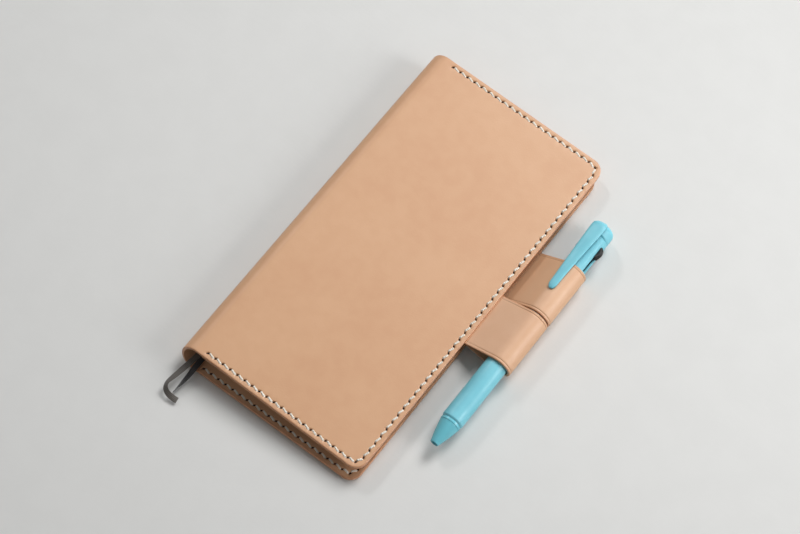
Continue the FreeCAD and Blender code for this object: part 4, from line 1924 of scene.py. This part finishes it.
@dataclass
class CapAndClip(PenPiece):
    """The rounded cap, swelling into the clip's seat, and the clip on its knuckle. Sizes from the tip."""

    spigot_chamfer: float = 0.3 * MM
    front_round: float = 0.15 * MM
    front_steps: int = 3
    cap_sides: int = 120
    cap_margin: float = 0.5 * MM
    cap_rows: int = 20
    cap_round: float = 3.7 * MM
    dome_rows: Spacing = (0.0, 1.55, 26)
    boss: float = 1.35 * MM
    boss_spread: float = 40.0
    boss_rise: float = 0.8 * MM
    boss_fade: float = 5.0 * MM
    seat_spread: float = 60.0
    clip_round: float = 5.0 * MM
    clip_plan_round: float = 6.4 * MM
    clip_under: float = 7.65 * MM
    clip_thickness: float = 1.4 * MM
    clip_arch: float = 0.35 * MM
    clip_hollow: float = 1.15
    clip_lip: float = 0.28
    clip_end: float = 139.3 * MM
    clip_nip: float = 0.12 * MM
    clip_clearance: float = 0.3 * MM
    clip_edge: float = 0.1 * MM
    clip_tip_reach: float = 3.6 * MM
    clip_tip_half: float = 2.15 * MM
    clip_tip_share: float = 0.85
    clip_tip_edge: float = 0.3
    clip_nub: float = 0.1 * MM
    clip_root_half: float = 4.1 * MM
    clip_taper: float = 1.2
    clip_underside: tuple[float, ...] = (-0.93, -0.5, 0.0, 0.5, 0.93)
    crown_steps: int = 14
    crown_across: float = 0.7
    crown_up: float = 0.8
    tip_rows: Spacing = (0.05, 1.0, 11)
    arm_rows: Spacing = (0.04, 1.0, 28)
    root_rows: Spacing = (0.12, 1.0, 14)
    clip_sharp: float = 60.0
    knuckle_radius: float = 1.24 * MM
    knuckle_gap: float = 0.1 * MM
    knuckle_half: float = 3.7 * MM
    knuckle_ends: tuple[tuple[float, float], ...] = ((-1.0, 0.8), (-0.96, 1.0), (0.96, 1.0), (1.0, 0.8))
    knuckle_sides: int = 28

    @staticmethod
    def dome(along: float, end: float, reach: float) -> float:
        """How far an outline has drawn in over its reach towards an end, from 1 to 0."""
        share = min(max((along - end + reach) / reach, 0.0), 1.0)
        return math.sqrt(1.0 - share * share)

    def cap(self) -> Piece:
        """Make the cap, with a hollow for the knuckle in its boss.

        Returns:
            The new piece.
        """
        start, end = self.span("pen_top_cap")
        front = self.span("pen_rear_barrel")[1]
        r = self.axis.radius
        soft = self.front_round
        degrees = np.linspace(0, 360, self.cap_sides, endpoint=False)
        off = apart(degrees, CLIP_SIDE)
        gap = self.knuckle_radius + self.knuckle_gap
        plain = np.linspace(front + self.cap_margin, end - self.cap_round, self.cap_rows, endpoint=False)
        domed = end - self.cap_round * (1 - np.sin(np.linspace(*self.dome_rows)))
        profile = [(start, self.spigot - self.spigot_chamfer), (start + self.spigot_chamfer, self.spigot),
                   (front, self.spigot)]
        profile += quarter(front + soft, r - soft, soft, FACING_TIP, self.front_steps)
        profile += [(along, r) for along in np.concatenate([plain, domed])]
        shape = Shape()
        rings = []
        for along, radius in profile:
            lift = smooth((along - front) / self.boss_rise) * smooth((end - along) / self.boss_fade)
            swell = np.exp(-(off / self.boss_spread) ** 2) * self.boss * lift
            outline = (radius + swell) * self.dome(along, end, self.cap_round)
            if abs(along - self.axis.pivot) < gap:
                seat = self.axis.pivot_height - math.sqrt(gap ** 2 - (along - self.axis.pivot) ** 2)
                hollow = np.minimum(outline, seat / np.cos(np.radians(off)))
                outline = np.where(off < self.seat_spread, hollow, outline)
            rings.append(shape.add(self.axis.around(along, degrees, outline)))
        shape.loft(rings)
        return shape.build("pen_cap", sharp=self.sharp)

    def section(self, along: float, half: float, under: float, top: float) -> Rows:
        """One section of the clip: flat beneath, with a round crown and soft edges.

        Args:
            along: The section's place.
            half: Half its width.
            under: Height of its underside above the axis.
            top: Height of its crown.

        Returns:
            The section's points in the frame.
        """
        a = np.linspace(0, math.pi, self.crown_steps + 1)
        crown = np.sign(np.cos(a)) * np.abs(np.cos(a)) ** self.crown_across
        across = np.concatenate([self.clip_underside, crown])
        crown_rise = self.clip_lip + (1 - self.clip_lip) * np.sin(a) ** self.crown_up
        rise = np.concatenate([np.zeros(len(self.clip_underside)), crown_rise])
        return self.axis.at(np.full(len(across), along), across * half, under + rise * (top - under))

    def tip_sections(self, tip: float) -> Sections:
        """Round the clip's tip.

        Args:
            tip: Where it starts.

        Returns:
            The place, half width, underside and crown of each section.
        """
        sections = []
        for t in np.linspace(*self.tip_rows):
            share = math.sqrt(1 - (1 - t) ** 2)
            nub = self.clip_nub * math.sin(math.pi * t)
            rise = self.clip_tip_edge + (1 - self.clip_tip_edge) * share
            crown = self.clip_under + rise * self.clip_thickness * self.clip_tip_share
            along = tip + self.clip_tip_reach * t
            sections.append((along, self.clip_tip_half * share, self.clip_under - nub, crown))
        return sections

    def arm_sections(self, start: float, end: float) -> Sections:
        """Widen and arch the clip's arm, up to its pivot.

        Args:
            start: Where it starts.
            end: The cap's end.

        Returns:
            The place, half width, underside and crown of each section.
        """
        sections = []
        for t in np.linspace(*self.arm_rows):
            along = start + (self.axis.pivot - start) * t
            half = self.clip_tip_half + (self.clip_root_half - self.clip_tip_half) * t ** self.clip_taper
            half *= self.dome(along, self.clip_end + self.clip_nip, self.clip_plan_round)
            arch = self.clip_arch * math.sin(math.pi * t) ** self.clip_taper
            thickness = self.clip_thickness * (self.clip_tip_share + (1 - self.clip_tip_share) * t)
            top = (self.clip_under + arch + thickness) * self.dome(along, end, self.clip_round)
            sections.append((along, half, self.clip_under + arch * self.clip_hollow, top))
        return sections

    def root_sections(self, end: float) -> Sections:
        """Lay the clip's root over the cap's round end.

        Args:
            end: The cap's end.

        Returns:
            The place, half width, underside and crown of each section.
        """
        sections = []
        boss = self.axis.radius + self.boss
        for t in np.linspace(*self.root_rows):
            along = self.axis.pivot + (self.clip_end - self.axis.pivot) * t
            low = boss * self.dome(along, end, self.cap_round) + self.clip_clearance
            half = self.clip_root_half * self.dome(along, self.clip_end + self.clip_nip, self.clip_plan_round)
            top = (self.clip_under + self.clip_thickness) * self.dome(along, end, self.clip_round)
            sections.append((along, half, low, max(top, low + self.clip_edge)))
        return sections

    def clip(self) -> Piece:
        """Sculpt the clip and the cross pin that it turns on.

        Returns:
            The new piece.
        """
        tip = self.span("pen_clip")[0]
        end = self.span("pen_top_cap")[1]
        sections = self.tip_sections(tip) + self.arm_sections(tip + self.clip_tip_reach, end)
        sections += self.root_sections(end)
        shape = Shape()
        shape.loft([shape.add(self.section(*section)) for section in sections])
        a = np.linspace(0, 2 * math.pi, self.knuckle_sides, endpoint=False)
        rings = []
        for side, share in self.knuckle_ends:
            radius = self.knuckle_radius * share
            rings.append(shape.add(self.axis.at(
                self.axis.pivot + radius * np.cos(a), np.full(len(a), side * self.knuckle_half),
                self.axis.pivot_height + radius * np.sin(a))))
        shape.loft(rings)
        return shape.build("pen_clip_arm", sharp=self.clip_sharp)

    def build(self) -> None:
        """Make and dress the cap and the clip."""
        dress(self.cap(), PEN_SATIN, ("pen_top_cap",), Body.PEN)
        dress(self.clip(), PEN_SATIN, ("pen_clip",), Body.CLIP)


@dataclass
class Sliders(PenPiece):
    """The sliders: each a ridged thumb tab, its stem and a shoe inside the barrel that holds the refill."""

    gap: float = 0.1 * MM
    length: float = 7.0 * MM
    height: float = 2.0 * MM
    half: float = 1.6 * MM
    crest: float = 0.7 * MM
    toe: float = 0.2 * MM
    slope: float = 0.42
    bow: float = 0.85
    end_round: float = 0.09
    end_flat: float = 0.01
    ridge: float = 0.12 * MM
    ridges: int = 8
    ridges_start: float = 0.6
    ridges_end: float = 0.92
    rows: int = 57
    section_shares: tuple[float, ...] = (0.0, 0.12, 0.7, 0.92, 1.0)
    section_trims: tuple[float, ...] = (0.15 * MM, 0.0, 0.0, 0.07 * MM, 0.28 * MM)
    stem_half: float = 1.25 * MM
    stem_crest: float = 1.1 * MM
    stem_low: float = 3.2 * MM
    stem_bite: float = 0.15 * MM
    stem_inset: float = 0.5 * MM
    shoe_radius: float = 1.6 * MM
    shoe_offset: float = 3.2 * MM
    shoe_bore: float = 1.16 * MM
    shoe_depth: float = 6.0 * MM
    shoe_chamfer: float = 0.2 * MM
    shoe_sides: int = 24
    sharp: float = 45.0

    def section(self, turn: float, along: float, half: float, crest: float, low: float, high: float) -> Rows:
        """A soft-edged section across a slider, narrowing out from the axis.

        Args:
            turn: The slider's place round the pen, in radians.
            along: The section's place.
            half: Half its width at its foot.
            crest: Half its width at its crest.
            low: Its foot's distance from the axis.
            high: Its crest's distance.

        Returns:
            The section's points in the frame.
        """
        share = np.array(self.section_shares)
        reach = half + (crest - half) * share - np.array(self.section_trims)
        across = np.concatenate([reach, -reach[::-1]])
        out = low + np.concatenate([share, share[::-1]]) * (high - low)
        side = out * math.cos(turn) - across * math.sin(turn)
        up = out * math.sin(turn) + across * math.cos(turn)
        return self.axis.at(np.full(len(across), along), side, up)

    def tab(self, shape: Shape, turn: float, front: float, foot: float) -> None:
        """Add the thumb tab, sloped at both ends, with ridges on its rear slope.

        Args:
            shape: The mesh in the making.
            turn: The slider's place round the pen, in radians.
            front: Where the tab starts.
            foot: Its foot's distance from the axis.
        """
        rings = []
        for t in np.linspace(0, 1, self.rows):
            near = min(t, 1 - t)
            slope = min(1.0, near / self.slope)
            ends = math.sqrt(min(1.0, (near + self.end_flat) / self.end_round))
            part = (t - self.ridges_start) / (self.ridges_end - self.ridges_start)
            ridge = self.ridge * math.sin(self.ridges * math.pi * part) ** 2 if 0.0 < part < 1.0 else 0.0
            high = foot + self.toe + (self.height - self.toe) * slope ** self.bow - ridge
            crest = self.half + (self.crest - self.half) * slope
            along = front + self.length * t
            rings.append(shape.add(self.section(turn, along, self.half * ends, crest * ends, foot, high)))
        shape.loft(rings)

    def shoe(self, shape: Shape, turn: float, start: float, end: float) -> None:
        """Add the round shoe inside the barrel, bored for the refill.

        Args:
            shape: The mesh in the making.
            turn: The slider's place round the pen, in radians.
            start: Where the shoe starts.
            end: Where it ends.
        """
        a = np.linspace(0, 2 * math.pi, self.shoe_sides, endpoint=False)
        cut = self.shoe_chamfer
        profile = [(start + self.shoe_depth, self.shoe_bore), (start, self.shoe_bore),
                   (start, self.shoe_radius - cut), (start + cut, self.shoe_radius),
                   (end - cut, self.shoe_radius), (end, self.shoe_radius - cut)]
        side = self.shoe_offset * math.cos(turn)
        up = self.shoe_offset * math.sin(turn)
        shape.loft([shape.add(self.axis.at(np.full(len(a), along), side + r * np.cos(a), up + r * np.sin(a)))
                    for along, r in profile])

    def slider(self, ink: Ink) -> Piece:
        """Make one slider.

        Args:
            ink: Which refill it pushes.

        Returns:
            The new piece.
        """
        word, degrees = ink.value
        turn = math.radians(degrees)
        start, end = self.span("slider_" + word)
        front = end - self.length
        foot = self.axis.radius + self.gap
        shape = Shape()
        self.tab(shape, turn, front, foot)
        stem = (self.stem_half, self.stem_crest, self.stem_low, foot + self.stem_bite)
        shape.loft([shape.add(self.section(turn, along, *stem))
                    for along in (front + self.stem_inset, end - self.stem_inset)])
        self.shoe(shape, turn, start, end)
        return shape.build("slider_tab_" + word, sharp=self.sharp)

    def build(self) -> None:
        """Make and dress the three sliders."""
        inks = {Ink.BLACK: BLACK_PLASTIC, Ink.RED: RED_PLASTIC, Ink.BLUE: BLUE_PLASTIC}
        for ink, finish in inks.items():
            word = ink.value[0]
            piece = dress(self.slider(ink), finish, ("slider_" + word,))
            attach(piece, word + "_refill")


def dress_inside() -> None:
    """Give the pen's inner pieces, kept as the frame has them, their finishes."""
    finishes = {"refill_guide": GUIDE_PLASTIC, "pen_centre_ring": PEN_GLOSS}
    for ink in Ink:
        finishes["refill_tube_" + ink.value[0]] = INK_TUBE
        finishes["refill_tip_" + ink.value[0]] = POINT_METAL
    for node, finish in finishes.items():
        piece = frame["nodes"][node]
        piece.data.materials.clear()
        piece.data.materials.append(finish.material())
        LOG.info("%s: %s, kept", node, finish.name)


@dataclass(frozen=True)
class Lamp:
    """A soft lamp: its direction from the object, distance, width, power in watts and fan in degrees."""

    name: str
    way: Point
    far: float
    size: float
    power: float
    spread: float = 180.0

    def hang(self, lit: Vector) -> None:
        """Hang the lamp and aim it.

        Args:
            lit: The place that it is aimed at.
        """
        data = bpy.data.lights.new(self.name, "AREA")
        data.size = self.size
        data.energy = self.power
        data.spread = math.radians(self.spread)
        lamp = placed(self.name, data)
        lamp.location = Vector(self.way).normalized() * self.far
        lamp.rotation_euler = (lamp.location - lit).to_track_quat("Z", "Y").to_euler()


@dataclass
class Studio:
    """The camera at the photograph's angle, a pale floor and soft light."""

    target: Point = (3.976 * MM, 0.113 * MM, 8.0 * MM)
    azimuth: float = math.radians(37.279)
    elevation: float = math.radians(65.739)
    distance: float = 1127.26 * MM
    lens: float = 105.0
    sensor: float = 36.0
    floor_size: float = 6.0
    floor_drop: float = 0.2 * MM
    floor_points: int = 9
    lit: Point = (0.07, 0.1, 0.0)
    lamps: tuple[Lamp, ...] = (
        Lamp("key", (0.06, 0.67, 0.73), far=1.8, size=0.76, power=6.9, spread=100.0),
        Lamp("side", (0.855, 0.327, 0.404), far=1.0, size=0.5, power=0.72, spread=60.0),
        Lamp("rim", (-0.67, 0.33, 0.67), far=3.9, size=0.48, power=23.4),
    )
    sky: Colour = (1.0, 1.0, 1.0, 1.0)
    sky_strength: float = 0.2

    def camera(self) -> None:
        """Set the camera up."""
        data = bpy.data.cameras.new("camera")
        data.lens = self.lens
        data.sensor_width = self.sensor
        camera = placed("camera", data)
        flat = math.cos(self.elevation)
        back = Vector((math.sin(self.azimuth) * flat, -math.cos(self.azimuth) * flat,
                       math.sin(self.elevation)))
        camera.location = Vector(self.target) + back * self.distance
        camera.rotation_euler = (-back).to_track_quat("-Z", "Y").to_euler()
        bpy.context.scene.camera = camera

    def floor(self) -> None:
        """Lay the floor."""
        shape = Shape()
        half = self.floor_size / 2
        steps = np.linspace(-half, half, self.floor_points)
        level = np.full_like(steps, -self.floor_drop)
        grid = [shape.add(np.stack([np.full_like(steps, x), steps, level], axis=1)) for x in steps]
        for a, b in zip(grid, grid[1:]):
            shape.bridge(a, b, closed=False)
        floor = shape.build("floor")
        floor.data.materials.append(FLOOR_PAPER.material())

    def world(self) -> None:
        """Light the scene evenly from all round."""
        world = bpy.data.worlds.new("studio")
        world.use_nodes = True
        background = world.node_tree.nodes["Background"]
        background.inputs["Color"].default_value = self.sky
        background.inputs["Strength"].default_value = self.sky_strength
        bpy.context.scene.world = world

    def build(self) -> None:
        """Set the whole stage."""
        self.camera()
        self.floor()
        for lamp in self.lamps:
            lamp.hang(Vector(self.lit))
        self.world()
        bpy.context.scene.view_settings.view_transform = "Standard"


def main() -> None:
    """Build everything in order."""
    logging.basicConfig(level=logging.INFO, format="%(name)s %(message)s")
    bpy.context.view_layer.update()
    Studio().build()
    for ribbon in RIBBONS:
        ribbon.build()
    path = CoverPath.from_frame()
    LeatherCover(path, Thread()).build()
    PenLoops(path).build()
    Notebook().build()
    axis = PenAxis.from_frame()
    for pieces in (PenNose, PenBarrels, CapAndClip, Sliders):
        pieces(axis).build()
    dress_inside()


if __name__ == "__main__":
    main()
